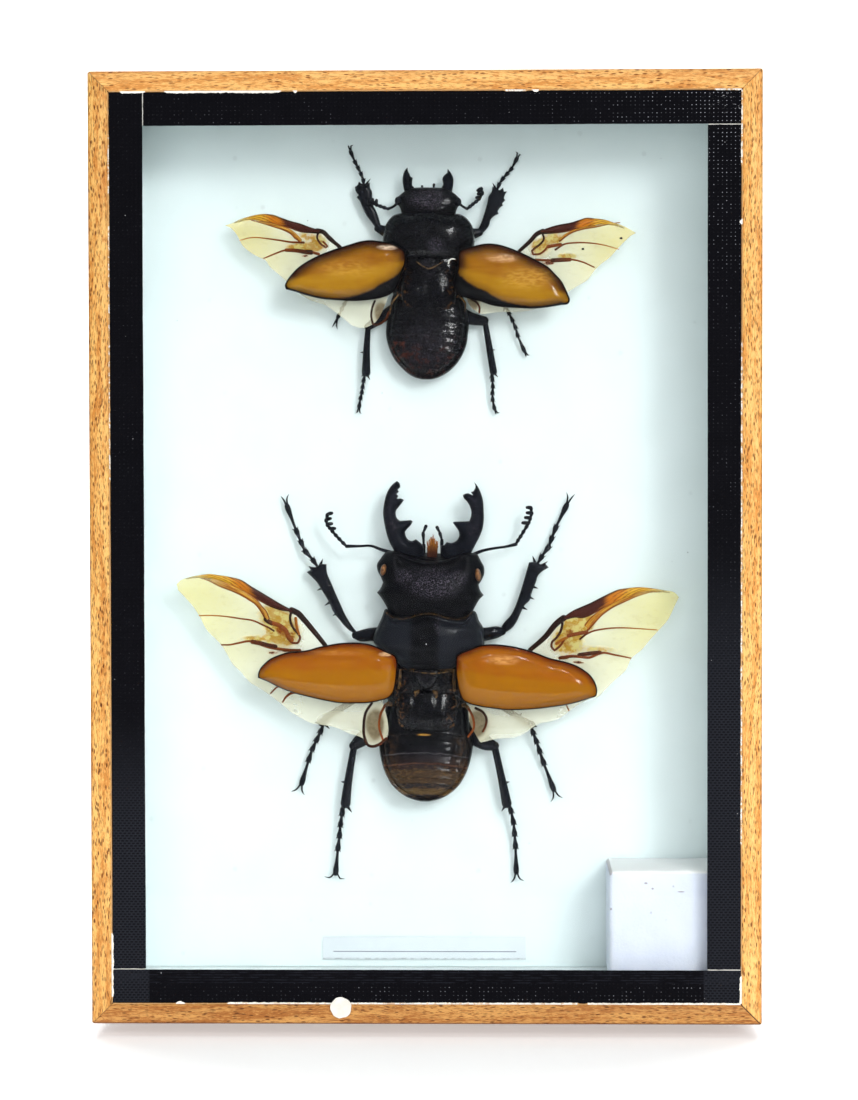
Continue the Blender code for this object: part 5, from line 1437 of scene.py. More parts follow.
    section_piece("male", "abdomen", MALE_ABDOMEN_SHELL,
        [(-7.6, -8.6, 8.6, 2, 9.4), (-8.9, -9.2, 9.2, 1.7, 10.2), (-14.3, -9.9, 9.9, 1.4, 10.6),
         (-17.8, -10.7, 10.7, 1.4, 10.7), (-19.8, -10.5, 10.5, 1.5, 10.7), (-22.8, -9.8, 9.8, 1.7, 10.6),
         (-24.8, -9, 9, 2, 10.4), (-26.7, -7.9, 7.9, 2.5, 10.1), (-28.3, -6.4, 6.4, 3, 9.6),
         (-29.5, -4.7, 4.7, 3.7, 9), (-30.3, -2.8, 2.8, 4.6, 8.2), (-30.7, -1.2, 1.2, 5.4, 7.4)], abdomen_lift,
        None, 3, 0.45)

    plates_piece("male", "scutellum", THORAX_SHELL,
        [[(-3.2, -0.2), (-1.6, 0.2), (0, 0.3), (1.6, 0.2), (3, -0.1), (2.9, -1.4), (2.2, -3), (1.1, -4.5),
          (0, -5), (-1.2, -4.5), (-2.4, -3), (-3.1, -1.5)]], 11.6, 2.2, 1.6)
    plates_piece("male", "hinges", GOLD_RIM, [[(-2.9, -5.3), (-1.7, -5), (-1.6, -6.4), (-2.2, -7), (-3, -6.6)],
         [(1.3, -5), (2.5, -5.2), (2.7, -6.7), (1.9, -7.1), (1.2, -6.3)], [(-6.3, -0.4), (-5.9, -0.4), (-5.8, -2.6),
          (-6.1, -5), (-6.6, -4.9), (-6.5, -2.6)], [(6.2, -0.4), (5.8, -0.4), (5.7, -2.6), (6, -5), (6.5, -4.9),
          (6.4, -2.6)], [(-9.5, -8.5), (-8.8, -7.8), (-7.7, -8.1), (-7.6, -9.1), (-8.5, -8.8), (-9.1, -9.1)],
         [(7.9, -7.9), (8.8, -7.7), (9.6, -8.5), (9.2, -9.4), (8.7, -8.7), (8, -8.6)]], 11, 0.8, 0.5)

    fold = [(-3.7, -0.7, 12.6, 0.08), (-1, -1, 12.9, 0.12), (1.5, -1.1, 12.9, 0.13), (4, -0.8, 12.7, 0.12),
            (5.8, -0.4, 12.3, 0.08)]
    body_part("male", "scutellum_edge", limb(bmesh.new(), fold, 0.3, 8, 0.8), GOLD_RIM, 50)

    bm = bmesh.new()
    plate(bm, [(-8.4, 26.3), (-9.3, 27.9), (-10.2, 30.4), (-10.7, 32.6), (-11, 34.9), (-10.8, 36.9), (-10.4, 38.7),
         (-9.8, 40.1), (-8.9, 41.3), (-8, 42), (-7.4, 41.5), (-7.2, 40.6), (-7.8, 40), (-7.5, 39.6), (-8, 39),
         (-7.6, 38.6), (-7.9, 38), (-6.8, 38), (-6.3, 37.7), (-7, 36.7), (-7.6, 35.9), (-8, 35.4), (-8.1, 34.5),
         (-7.8, 33.6), (-7.1, 33), (-4.6, 33.2), (-4.2, 32.9), (-4.6, 32.1), (-5.5, 31.1), (-5.9, 30.5), (-5.7, 29.6),
         (-5, 28.7), (-4.3, 28.5), (-3.4, 28.9), (-2.7, 28.4), (-1.8, 27.6), (-1.4, 25.4), (-3, 23.6),
         (-7.6, 24.2)], 7.5, 3.6, 2.1)
    plate(bm, [(9.5, 42.2), (10.4, 41.1), (11.1, 39.7), (11.6, 38.1), (11.8, 35.9), (11.9, 33.6), (11.7, 31.8),
         (11.1, 30), (10.2, 28.1), (9.1, 25.8), (8.2, 23.8), (4, 23.6), (2.2, 25.4), (2.3, 27.7), (3, 27.7),
         (3.6, 28.4), (4.8, 28.3), (5.9, 28.9), (6.4, 29.9), (6.3, 30.8), (5.6, 31.9), (4.9, 32.8), (5.1, 33.1),
         (8.6, 33.3), (8.9, 34.2), (9, 35.4), (8.6, 36.7), (7.9, 37.8), (7.2, 38.5), (7, 39.2), (7.9, 39.6),
         (9.3, 39.2), (8.8, 39.9), (9.4, 40.1), (9.8, 41)], 7.5, 3.6, 2.1)
    body_part("male", "mandibles", bm, MANDIBLE_SHELL, 50)

    bm = bmesh.new()
    for points in ([(-1.4, 25), (-1.6, 27.6), (-1.8, 30.3), (-1.2, 31.9)],
                   [(2.5, 25), (2.5, 28.8), (2, 30.4), (1.3, 31.7)]):
        knotted(bm, points, 6.8, 6.2, 0.26, 0.42, 10)
    body_part("male", "palps", bm, LEG_SHELL)

    rng = random.Random(5)
    bm = bmesh.new()
    for lock in range(11):
        share = lock / 10
        x, middle = -0.4 + 1.6 * share, 1 - abs(share - 0.5) * 1.1
        top = Vector((0.4 + (x - 0.4) * 1.5 + rng.uniform(-0.15, 0.15), 27.2 + 3 * middle * rng.uniform(0.75, 1)))
        for strand in range(13):
            z = 7.4 + rng.uniform(-0.6, 0.9)
            start = x + rng.uniform(-0.2, 0.2)
            end = top + Vector((rng.uniform(-0.2, 0.2), rng.uniform(-1.4, 0.2)))
            bend = start * 0.6 + end.x * 0.4 + rng.uniform(-0.1, 0.1)
            hair(bm, [(start, 23.8, z), (bend, 26.4, z), (*end, z - 0.3)], 0.13, 5)
    body_part("male", "brush", bm, BRUSH_HAIR)

    bm = bmesh.new()
    ellipsoid(bm, (-10.5, 21.9, 11), (0.66, 1.3, 0.9), 4, -0.2)
    ellipsoid(bm, (10.9, 21.3, 11), (0.68, 1.45, 0.9), 4, 0.15)
    body_part("male", "eyes", bm, TAN_EYE)

    bm = bmesh.new()
    rim = [(-9.6, 12.4), (-8.2, 11.4), (-6.4, 11), (-4.2, 11.4), (-2.2, 12.1), (-0.1, 12.4), (2.4, 12.1),
           (4.6, 11.4), (6.9, 11.3), (8.8, 12), (9.8, 12.9)]
    for step, point in enumerate(spread(smooth([(*p, 0) for p in rim], 0.3), 150)):
        z = 13.4 + 0.8 * hump(point.x, 0.2, 6) - 0.06 * max(0, abs(point.x) - 7) ** 2
        bend = rng.uniform(-0.2, 0.2)
        hair(bm, [(point.x, point.y - 0.1, z), (point.x + bend, point.y + rng.uniform(0.08, 0.34), z - 0.3)], 0.05, 4)
    for step in range(120):
        x = -3.8 + 10 * step / 119
        hair(bm, [(x, -0.1, 12.2), (x + rng.uniform(-0.2, 0.2), -0.5 - rng.uniform(0, 0.5), 12)], 0.055, 4)
    body_part("male", "pronotum_fringe", bm, GOLD_RIM)

    antenna("male", "left_antenna", [(-8.8, 25.7, 7.6, 0.45), (-11.3, 26.4, 7.5, 0.36), (-13.4, 27.1, 7.4, 0.3),
         (-16.2, 27, 7.2, 0.3), (-19.1, 26.9, 7, 0.42)],
        [(-19.1, 26.9), (-20, 27.7), (-20.9, 28.6), (-21.7, 29.4), (-22.5, 30.3), (-23.1, 31), (-23.6, 31.6),
         (-23.9, 32.7), (-23.6, 34)], [((-23.3, 34.2), (-22.3, 34.4)), ((-23.8, 32.9), (-22.5, 33.2)),
         ((-23.6, 31.8), (-22.1, 32)), ((-22.9, 30.8), (-21.4, 30.9))], 7)
    antenna("male", "right_antenna", [(9.4, 25.6, 7.6, 0.45), (11.6, 26.6, 7.5, 0.36), (14.5, 27.3, 7.4, 0.3),
         (17, 27.7, 7.2, 0.3), (19.3, 28.3, 7, 0.42)],
        [(19.3, 28.3), (19.8, 29.3), (20.4, 30.2), (21, 31.3), (21.7, 32.5), (22.1, 33.3), (22.4, 34.2),
         (22.7, 35.5), (22.5, 36.6)], [((22.5, 36.7), (21.2, 36.7)), ((22.6, 35.5), (21.2, 35.5)), ((22.3, 34.4),
          (20.8, 34.4)), ((21.8, 33.2), (20.2, 33.2))], 7)


def make_male_legs():
    leg("male", "front_left_leg", [(-5, 6.8, 4.6, 2), (-10, 6.9, 5, 1.8), (-13.2, 6.9, 5.2, 1.5),
         (-15.6, 6.5, 5, 1.3), (-16.7, 6.6, 4.8, 0.9)],
        [(-16.6, 6.9, 4.6, 0.7), (-19.4, 10.6, 4.4, 1), (-23.5, 17.4, 4.2, 1.3), (-25.4, 21.6, 3.9, 1)],
        [(-24.6, 23.8), (-25.7, 16.6), (-23.9, 13.2), (-22, 10.9)],
        [(-25.7, 21.9), (-26.9, 23.5), (-28.8, 25.5), (-29.8, 27.6), (-31, 30.2), (-33.2, 35.6)],
        [(-34.7, 37.8), (-32.9, 38.3)], ([(-16.9, 6.8), (-18.5, 7.9), (-20.4, 9.9), (-22, 11.9), (-23, 14),
          (-24.7, 16.7), (-25.9, 18.5), (-27, 19.6), (-28.2, 20.7), (-27.3, 21.2), (-27.8, 22.1), (-26.2, 21.9),
          (-25, 22.6), (-23.7, 22.6), (-23.6, 21), (-22.4, 18.1), (-20.5, 14), (-18.8, 10.6), (-16.9, 7.9),
          (-16.2, 7.1)], 4.3, 1.8))
    leg("male", "front_right_leg", [(5, 7, 4.6, 2), (10, 7.3, 5, 1.8), (13.4, 7.7, 5.2, 1.5),
         (15.7, 8.2, 5, 1.3), (16.7, 8.3, 4.8, 0.9)],
        [(16.6, 8, 4.6, 0.7), (19.4, 11.7, 4.4, 1.1), (22.5, 18.8, 4.2, 1.4), (24, 23.4, 3.9, 1)],
        [(23.2, 25.6), (24.6, 18.3), (23.8, 15.8), (22.3, 13.4)],
        [(24.4, 24), (25.3, 25.6), (26.8, 27.8), (27.5, 29.9), (28.4, 32.4), (30.7, 37.4)],
        [(30.6, 40.3), (32.5, 39.9)], ([(16.4, 9), (18.8, 12.5), (20.5, 17.1), (21.7, 21.5), (22.4, 24.2),
          (23.9, 24.3), (25.1, 23.8), (26.7, 24.6), (26.2, 23.9), (26.9, 23.1), (25.6, 22.3), (24.5, 21.1),
          (24.1, 19.7), (23.2, 17.2), (22.8, 15.6), (21.7, 14.4), (20.8, 12.6), (20, 10.7), (18.9, 9.1), (17.3, 8.1),
          (16.3, 8)], 4.3, 1.8))
    leg("male", "middle_left_leg", [(-4.5, -4, 3.6, 1.7), (-10, -5, 4.2, 1.4), (-13, -6.2, 4.4, 0.9)],
        [(-12.6, -6, 4.4, 0.7), (-18.8, -9.7, 4.2, 0.72), (-22.2, -12, 4, 0.8), (-24, -13.7, 3.8, 0.9)],
        [(-25.6, -13.6), (-22.2, -15), (-20.9, -9.9)],
        [(-23.5, -13.9), (-24.3, -15.9), (-25.2, -17.9), (-26.1, -20), (-26.9, -22.6), (-28.4, -28)],
        [(-30.8, -29.9), (-27.7, -30.6)])
    leg("male", "middle_right_leg", [(4.5, -4, 3.6, 1.7), (10, -5.4, 4.2, 1.4), (13.6, -6.8, 4.4, 0.9)],
        [(13.2, -6.6, 4.4, 0.7), (19.2, -10.2, 4.2, 0.72), (21.9, -11.9, 4, 0.8), (23.9, -12.9, 3.8, 0.9)],
        [(25.2, -13.3), (21.8, -13.6), (21.6, -10.2)],
        [(23.7, -13.2), (24.4, -14.9), (25.2, -16.9), (26, -19.2), (27, -21.9), (29.4, -27.8)],
        [(28.8, -30.7), (31.5, -29.7)])
    leg("male", "hind_left_leg", [(-4, -9.6, 3.6, 1.8), (-11.5, -14.6, 4.2, 1.9), (-15, -17.4, 4.6, 1.6),
         (-16.5, -18.7, 4.6, 1.1)], [(-16.4, -18.6, 4.6, 0.75), (-17.2, -24, 4.4, 0.85), (-17.8, -28.6, 4.2, 1),
         (-18.1, -32, 4, 1.15)], [(-16.6, -34), (-19.4, -33.6), (-19.2, -27)],
        [(-18.4, -31.8), (-18.9, -34.6), (-19.2, -37.2), (-19.4, -39.8), (-19.7, -42.8), (-20.1, -48.4)],
        [(-22.7, -49.3), (-18, -49.7)])
    leg("male", "hind_right_leg", [(4, -9.6, 3.6, 1.8), (10.8, -15.8, 4.2, 1.9), (13.8, -17.3, 4.6, 1.7),
         (15.6, -17.9, 4.6, 1.1)], [(15.6, -17.9, 4.6, 0.8), (17, -23.6, 4.4, 0.85), (18, -27.8, 4.2, 1),
         (18.7, -31, 4, 1.15)], [(17.6, -32.8), (20.2, -32.4), (19.2, -26)],
        [(18.9, -30.4), (19.8, -33), (20.4, -35.6), (20.7, -38.3), (21, -41.2), (21.3, -47)],
        [(20.1, -49.5), (23.1, -49)])


def make_male_wings():
    wing_case("male", "left", [(-37.9, -2.9), (-37.9, -2), (-37.5, -0.8), (-36.6, 0.3), (-35.5, 1.3), (-33.5, 2.3),
         (-31, 3.1), (-28.8, 3.3), (-26.5, 3.7), (-24.3, 4.4), (-22, 4.9), (-19.8, 5.3), (-17.5, 5.5), (-15.3, 5.5),
         (-13, 5.2), (-11.2, 4.6), (-8.9, 3.6), (-7.1, 2.7), (-6.6, 0.9), (-6.7, -0.9), (-6.9, -3.4), (-7.4, -5.5),
         (-8.2, -6.6), (-10.5, -7.5), (-12.7, -8), (-16.1, -8.2), (-19.5, -8.2), (-22.9, -7.7), (-26.3, -7),
         (-29.7, -6.2), (-33.1, -5), (-35.8, -3.7)], (-10.8, 2.2, 2.6, 0.7))
    wing_case("male", "right", [(6.6, 3.2), (6.4, 1.7), (6.8, -3.1), (7.3, -5.1), (8.2, -6.9), (9.8, -7.7),
         (12.1, -8.2), (15.4, -8.6), (17.7, -8.8), (21.1, -8.7), (24.4, -8.4), (27.8, -7.9), (31.2, -7.3),
         (34.5, -6.4), (36.7, -5.6), (38.1, -5), (38.3, -3.8), (37.8, -2), (36.6, -0.3), (35, 0.9), (33.2, 1.8),
         (30.9, 2.5), (27.5, 3.2), (24.1, 4.4), (20.7, 5.3), (17.3, 5.8), (14, 5.9), (11.7, 5.6), (9.5, 4.7),
         (7.3, 3.7)], (10.8, 2.6, 2.6, 0.7))

    lead = [(-9.4, -4), (-16, 0.6), (-23.3, 4.5), (-26.8, 8.3), (-30.3, 11.8), (-31.5, 12.4), (-33.8, 13.7),
            (-36.1, 15), (-38.4, 16.3), (-40.7, 17.6), (-42.5, 18.7), (-44.8, 19.3), (-47.6, 19.7), (-49.9, 19.9),
            (-52.1, 19.6), (-54.4, 19.1), (-56.7, 18.1), (-57.3, 17.4)]
    field_back = [(-31, 11.7), (-33.3, 12.3), (-34.9, 12.8), (-37.9, 14.1), (-40.7, 15.6), (-43, 16.8), (-45.3, 17.8),
                  (-47.5, 18.5), (-49.8, 18.9), (-52.1, 19), (-55.1, 18.6)]
    band_front = [(-36.2, 10.1), (-36.9, 11.8), (-37.9, 12.9), (-38.8, 14), (-40.7, 15.5), *field_back[5:10]]
    band_back = [(-36.8, 9.7), (-37.8, 11.6), (-39.3, 13.4), (-40.9, 14.4), (-42.9, 15.5), (-45.2, 16.4),
                 (-47.5, 17.2), (-49.8, 18.3), (-51.9, 18.8)]
    hindwing("male", "left", lead, [(-10.6, -7.7), (-8.8, -12), (-8.9, -16.3), (-10.4, -17.7), (-12, -18.3),
             (-12.9, -18), (-14.3, -16.4), (-17.3, -15.4), (-20.7, -14.1), (-23.7, -13.6), (-25.9, -13.3),
             (-28.7, -12), (-31, -10.7), (-32.8, -9.2), (-35.6, -7.2), (-37.9, -5.7), (-40.2, -4.4), (-42.5, -1.9),
             (-44.2, -0.4), (-45.4, 1.6), (-46.8, 3.8), (-48.4, 5.4), (-50, 6.9), (-51.9, 10.1), (-53.5, 12.5),
             (-55.4, 14.5), (-57, 16.1)],
        ([(-30.8, 12.2), *lead[6:15], (-55.2, 18.8)], field_back), (band_front, band_back),
        [([(-23.3, 4.5), (-25.7, 7.3), (-28.1, 10), (-29.7, 11.6), (-31.1, 12.2)], 0.34, 0.42, 0, 0),
         ([(-31.1, 12.2), (-33.3, 12.4), *field_back[2:7], (-47.5, 18.6)], 0.26, 0.1, 0, 0.6),
         ([*band_back[:8], (-51.6, 18.9)], 0.17, 0.08, 0.3, 0.7),
         (band_front[:5], 0.14, 0.08, 0.3, 0.5),
         ([(-35.6, 9.2), (-33.5, 8.5), (-32.2, 7.4), (-31.8, 6.4), (-30.9, 5.4)], 0.34, 0.3, 0.5, 0.6),
         ([(-36.9, 10), (-36.3, 9.5), (-35.5, 9.1)], 0.36, 0.32, 0.05, 0.2),
         ([(-35, 7.4), (-36, 8), (-37.8, 8.8), (-39.4, 9.5), (-42.8, 10), (-46.2, 10.4), (-49.6, 10.5),
           (-52.1, 10.4)], 0.15, 0.07, 0.15, 1),
         ([(-29, 3.1), (-31.3, 3.1), (-33.3, 3.3), (-35.4, 3.5), (-37, 3.9), (-38.8, 4.5), (-40.4, 4.9), (-42.7, 4.5),
           (-44.9, 4), (-46.8, 3.9)], 0.26, 0.1, 0.2, 0.6),
         ([(-34.6, 3.8), (-36.4, 4.1), (-38, 4.5), (-39.8, 4.8)], 0.36, 0.3, 0.12, 0.2),
         ([(-35.4, -6.8), (-34.3, -5.6), (-33.6, -5.1)], 0.1, 0.13, 0.5, 0.4),
         ([(-32.6, -8.7), (-31.9, -7.5), (-30.9, -6.7), (-29.4, -6.3)], 0.12, 0.22, 0.4, 0.3),
         ([(-31.1, 11.9), (-31.4, 10.4), (-30.7, 8.3), (-29.5, 6.9), (-29, 6.1), (-29.5, 4.8), (-30.7, 4.8),
           (-31.8, 5.8)], 0.2, 0.15, 0, 0.3),
         ([(-30.1, 10.4), (-29.7, 7.9), (-29.3, 6.7)], 0.24, 0.18, 0.7, 0.8),
         ([(-9.3, -8.6), (-10.4, -11), (-10.6, -13.8), (-9.7, -16.6)], 0.2, 0.14, 0.2, 0.5),
         ([(-12.4, -8.4), (-13.7, -10.5), (-14.1, -13.5), (-13.8, -16.4), (-12.9, -18), (-12, -18.2), (-10.4, -17.6),
           (-8.9, -16.3)], 0.2, 0.2, 0, 0.15)],
        [(-35.2, 10.8, 3, 2.4, 1), (-32.8, 7.2, 3.2, 3, 1.2), (-38.9, 5.5, 3.8, 0.8, 0.6)],
        [(-33.4, 7.6, 1.6, 1.5, 0.7), (-31.2, 6, 1.6, 1.6, 0.7), (-35.3, 2.4, 1.7, 0.45, 0.8), (-32, 3, 1.9, 0.5, 1)],
        [(-11.4, -13.4, 2.2, 4.5, 1), (-19, -12.5, 8.5, 3.2, 0.38)])

    lead = [(9.5, -4), (16, 0.6), (23, 4.6), (26.3, 7.6), (29.6, 11.5), (30.7, 12.2), (32.3, 13.6), (34.1, 14.5),
            (36.3, 15.5), (38.5, 16.7), (40.8, 17.9), (42.6, 18.7), (44.8, 19.1), (47.5, 19.4), (50.2, 19.2),
            (53.2, 18.8), (55.5, 18.3), (56.4, 17.3)]
    field_back = [(30.8, 11.7), (33, 12.3), (34.8, 12.4), (36.8, 13.2), (38.6, 14.2), (41.9, 15.9), (45.3, 17.5),
                  (47.5, 18.3), (49.8, 18.5), (54.3, 18.2)]
    band_front = [(35.4, 10.5), (36.8, 12.3), (38.6, 13.9), *field_back[5:9], (52.4, 18.4)]
    band_back = [(36, 9.4), (37.3, 11), (38.9, 12.8), (41.1, 14.5), (44.2, 16.1), (47.5, 17.5), (49.8, 18.2),
                 (52.4, 18.3)]
    hindwing("male", "right", lead, [(9.4, -8), (9.8, -12), (12.4, -16.7), (16.7, -15.6), (20.1, -15.3),
             (22.4, -14.3), (24.2, -12.9), (25.7, -12), (28, -11.5), (30.2, -10.7), (32, -9.3), (33.5, -8.1),
             (35.3, -7), (36.9, -6.2), (38.7, -5.7), (40.2, -4.1), (42.4, -1.8), (44.8, 0.5), (46.1, 3.3),
             (48.3, 5.2), (50.1, 7.5), (52.3, 10), (54, 12.1), (55.5, 15.3)],
        ([(30.4, 12.2), *lead[6:15], (54.4, 18.5)], field_back), (band_front, band_back),
        [([(23, 4.5), (26.3, 7.5), (29.2, 11), (30.5, 12)], 0.34, 0.42, 0, 0),
         ([(31, 12), (33, 12.5), *field_back[2:7], (47.5, 18.4)], 0.26, 0.1, 0, 0.6),
         ([*band_back[:5], (47.5, 17.6), (49.8, 18.3), (52, 18.6)], 0.17, 0.08, 0.3, 0.7),
         ([*band_front[:2], (38.6, 13.7), (40, 14.5)], 0.14, 0.08, 0.3, 0.5),
         ([(31.6, 8), (33.7, 8.5), (35.8, 8.9)], 0.28, 0.26, 0.5, 0.3),
         ([(34.3, 7.3), (35.6, 8.4), (37, 9.1), (40, 9.8), (43.7, 10.1), (47.1, 10), (51.7, 9.8)],
           0.15, 0.07, 0.15, 1),
         ([(29.9, 2.9), (32.6, 3.4), (34.6, 3.3), (36.6, 3.2), (38, 3.8), (39.5, 4.3), (42.3, 3.9), (45.9, 3.3)],
           0.26, 0.1, 0.2, 0.6),
         ([(34.2, 3.7), (36.6, 4.1), (38.9, 4.4)], 0.32, 0.26, 0.12, 0.2),
         ([(31.5, -7.5), (32.2, -8.9)], 0.09, 0.09, 0.6, 0.7),
         ([(30.1, 11.8), (30.2, 10.5), (29.8, 8.8), (28.8, 7.3), (28, 6.5), (27.9, 5.4), (28.6, 4.6), (29.7, 5.5),
           (30.9, 7.4)], 0.2, 0.15, 0, 0.3),
         ([(29, 6.1), (30.1, 7), (31.4, 7.6)], 0.22, 0.18, 0.7, 0.8),
         ([(9.4, -8.8), (10.6, -11.2), (10.8, -13.4), (9.6, -15.4)], 0.2, 0.14, 0.2, 0.5),
         ([(11.1, -8.9), (12.8, -9.8), (13.6, -11.2), (13.5, -12.7), (12.9, -14.1)], 0.2, 0.16, 0, 0.2)],
        [(33.4, 10.8, 2.8, 2.2, 1), (31.4, 6.8, 3, 2.8, 1.2), (36, 11.4, 1.8, 1.6, 0.9), (38.7, 5.1, 4.2, 0.8, 0.6)],
        [(32, 8.6, 1.6, 1.2, 0.7), (30.6, 6, 1.5, 1.5, 0.6), (34.1, 2, 1.7, 0.45, 0.9), (30.5, 3, 1.9, 0.5, 1)],
        [(11.4, -12.4, 2.2, 3.6, 1), (18, -12.5, 8.5, 3.2, 0.38)])


# ---------------------------------------------------------------- the female

def make_female_body():
    def head_lift(x, y, d):
        return (0.35 * hump(y, 15.3, 0.5) * hump(x, 0, 4.5) - 0.3 * hump(y, 14, 0.7) * hump(x, 0, 4)
                + 0.3 * hump(abs(x + 0.2), 1.8, 1) * hump(y, 12.6, 1) + 0.12 * grain((x, y, 2), 0.8))

    section_piece("female", "head", FEMALE_HEAD_SHELL,
        [(15.9, -3.4, 3, 4, 6.2), (15.7, -4.3, 4, 3.6, 6.9), (15.1, -5.5, 5.1, 3.2, 7.5),
         (14.3, -6.5, 6.2, 3, 7.9), (13.2, -7.4, 7.1, 2.9, 8.2), (12.5, -7.5, 7.2, 2.8, 8.3),
         (11.4, -6.6, 6.5, 2.8, 8.4), (10.2, -6.2, 6.1, 2.9, 8.3), (9, -5.9, 5.9, 3.2, 8)], head_lift, None, 2.5)

    def pronotum_lift(x, y, d):
        return (0.18 * hump(d, 0.4, 0.25) - 0.12 * hump(d, 0.9, 0.35) + 0.12 * grain((x, y, 1), 2.6)
                - 0.2 * hump(x, 0, 0.5) * ease(y, 1.5, 3) * ease(9 - y, 0, 2))

    section_piece("female", "pronotum", FEMALE_PRONOTUM_SHELL,
        [(10.4, -5.9, 5.7, 3.2, 8.5), (10.1, -6.9, 6.8, 2.9, 9), (9.5, -8.1, 8, 2.6, 9.6),
         (8.6, -9, 9, 2.4, 10.1), (7.2, -9.8, 9.9, 2.3, 10.6), (5.6, -10.2, 10.3, 2.2, 10.9),
         (3.8, -10.4, 10.5, 2.1, 10.9), (1.8, -9.8, 9.9, 2.2, 10.5), (0.3, -7.5, 7.7, 2.6, 9.8),
         (-0.3, -6.2, 6.3, 3.2, 9.1)], pronotum_lift, lambda x, y: -ease(y, 6.5, 10.2) * 0.5 * hump(abs(x), 4, 2.4),
        2.5)

    section_piece("female", "thorax", THORAX_SHELL,
        [(1.6, -5.8, 5.8, 2.4, 7.8), (0, -7.7, 7.7, 1.5, 8.4), (-3, -8.4, 8.4, 1.2, 8.6),
         (-6.5, -8.4, 8.4, 1.2, 8.3), (-9, -7.8, 7.8, 1.4, 7.8)], lambda x, y, d: 0.3 * grain((x, y, 4), 1.5),
        None, 2.8)

    def back_lift(x, y, d):
        return (-0.5 * hump(x, 0, 0.4) * ease(-y, 5, 6.4) + 0.12 * hump(d, 0.4, 0.3)
                + 0.25 * hump(abs(x), 3, 1.5) * hump(y, -8, 2.2) + 0.1 * grain((x, y, 4), 1.2))

    section_piece("female", "hind_back", THORAX_SHELL,
        [(-3.2, -4.8, 5.2, 6, 8.2), (-3.8, -5.6, 6, 5.6, 9), (-6, -6, 6.4, 5.6, 9.3),
         (-9, -6, 6.3, 5.6, 9.3), (-11.2, -5.8, 6, 5.8, 8.9), (-12, -5, 5.3, 6.2, 8.4)], back_lift, None,
        2.7, 0.3)

    borders = (-8, -12.4, -14.1, -15.8, -17.2, -19.1, -21.2, -24.4, -28.5)

    def abdomen_lift(x, y, d):
        inside = ease(d, 0.9, 1.5)
        return (0.10 * hump(d, 0.35, 0.25) - 0.65 * hump(d, 0.85, 0.36)
                + inside * (rows_step(y + 0.01 * x * x, borders, 0.32) - 0.1 + 0.08 * grain((x, y * 2, 1), 1.2)))

    section_piece("female", "abdomen", FEMALE_ABDOMEN_SHELL,
        [(-7.8, -7.8, 7.8, 1.6, 7.4), (-9.4, -8.4, 8.1, 1.3, 8), (-13, -9, 9, 1.2, 8.3),
         (-15.3, -9.5, 9.3, 1.2, 8.4), (-17.1, -9.6, 9.1, 1.2, 8.3), (-19.4, -9.2, 8.8, 1.4, 8.1),
         (-21.4, -8.5, 8.1, 1.6, 7.9), (-23.2, -7.5, 7.1, 1.9, 7.6), (-25, -5.9, 5.6, 2.4, 7.2),
         (-26.3, -4.4, 3.9, 3, 6.7), (-27.1, -2.9, 2.3, 3.6, 6.1), (-27.5, -1.4, 0.9, 4.2, 5.5)], abdomen_lift,
        None, 3, 0.45)

    plates_piece("female", "scutellum", THORAX_SHELL,
        [[(-3, -0.4), (0, 0), (2.8, -0.4), (1.6, -1.9), (0.3, -2.9), (-0.4, -2.9), (-1.8, -1.9)]], 9.2, 1.4,
        1.2)
    plates_piece("female", "hinges", GOLD_RIM,
        [[(-2.9, 0.5), (-1.4, 0.7), (1.6, 0.7), (3.2, 0.4), (3, 0), (0, 0.2), (-2.7, 0)]], 8.9, 0.9, 0.5)
    bm = bmesh.new()
    limb(bm, [(-2.6, -1.1, 9.5, 0.1), (-1.2, -2, 9.6, 0.16), (0.2, -2.6, 9.6, 0.18), (1.8, -2, 9.6, 0.16),
              (3.4, -1, 9.5, 0.1)], 0.3, 8, 0.8)
    limb(bm, [(-6.6, -8.4, 8.6, 0.12), (-8.2, -10.6, 8.5, 0.2), (-8.6, -12.8, 8.4, 0.14)], 0.4, 8, 0.8)
    limb(bm, [(6.8, -8.6, 8.6, 0.12), (8.4, -10.2, 8.5, 0.2), (8.4, -12.2, 8.4, 0.14)], 0.4, 8, 0.8)
    body_part("female", "wing_roots", bm, GOLD_RIM, 50)
    fold = [(4.6, -1.5, 9.6, 0.1), (4.8, -0.8, 9.8, 0.15), (5.4, -0.4, 9.8, 0.15), (6.1, -0.5, 9.6, 0.08)]
    body_part("female", "wing_fold", limb(bmesh.new(), fold, 0.25, 8, 0.8), WHITE_PAPER, 50)

    bm = bmesh.new()
    plate(bm, [(-4.9, 20.5), (-5.5, 19.8), (-5.9, 18.7), (-6, 17.3), (-5.8, 16), (-5.5, 14.6), (-3, 14.4),
         (-3.3, 15.9), (-3.8, 16.4), (-3.8, 17.3), (-3.7, 18.1), (-4.3, 18.6), (-4.4, 19), (-4.7, 19.4)], 5.2, 2.2,
        1.2)
    plate(bm, [(4.2, 20.2), (5, 19.2), (5.5, 18.1), (5.5, 16.7), (5.2, 14.6), (2.6, 14.4), (2.8, 15.8), (3.2, 16.7),
               (3, 17.8), (3.1, 18.3), (3.4, 18.7), (4.1, 19.3)], 5.2, 2.2, 1.2)
    body_part("female", "mandibles", bm, MANDIBLE_SHELL, 50)

    bm = bmesh.new()
    knotted(bm, [(0.9, 14.6), (1, 15.6), (1.1, 16.7)], 4.6, 4.4, 0.2, 0.32, 9)
    knotted(bm, [(-1.4, 14.6), (-1.5, 15.5), (-1.6, 16.3)], 4.6, 4.4, 0.2, 0.3, 9)
    body_part("female", "palps", bm, LEG_SHELL)

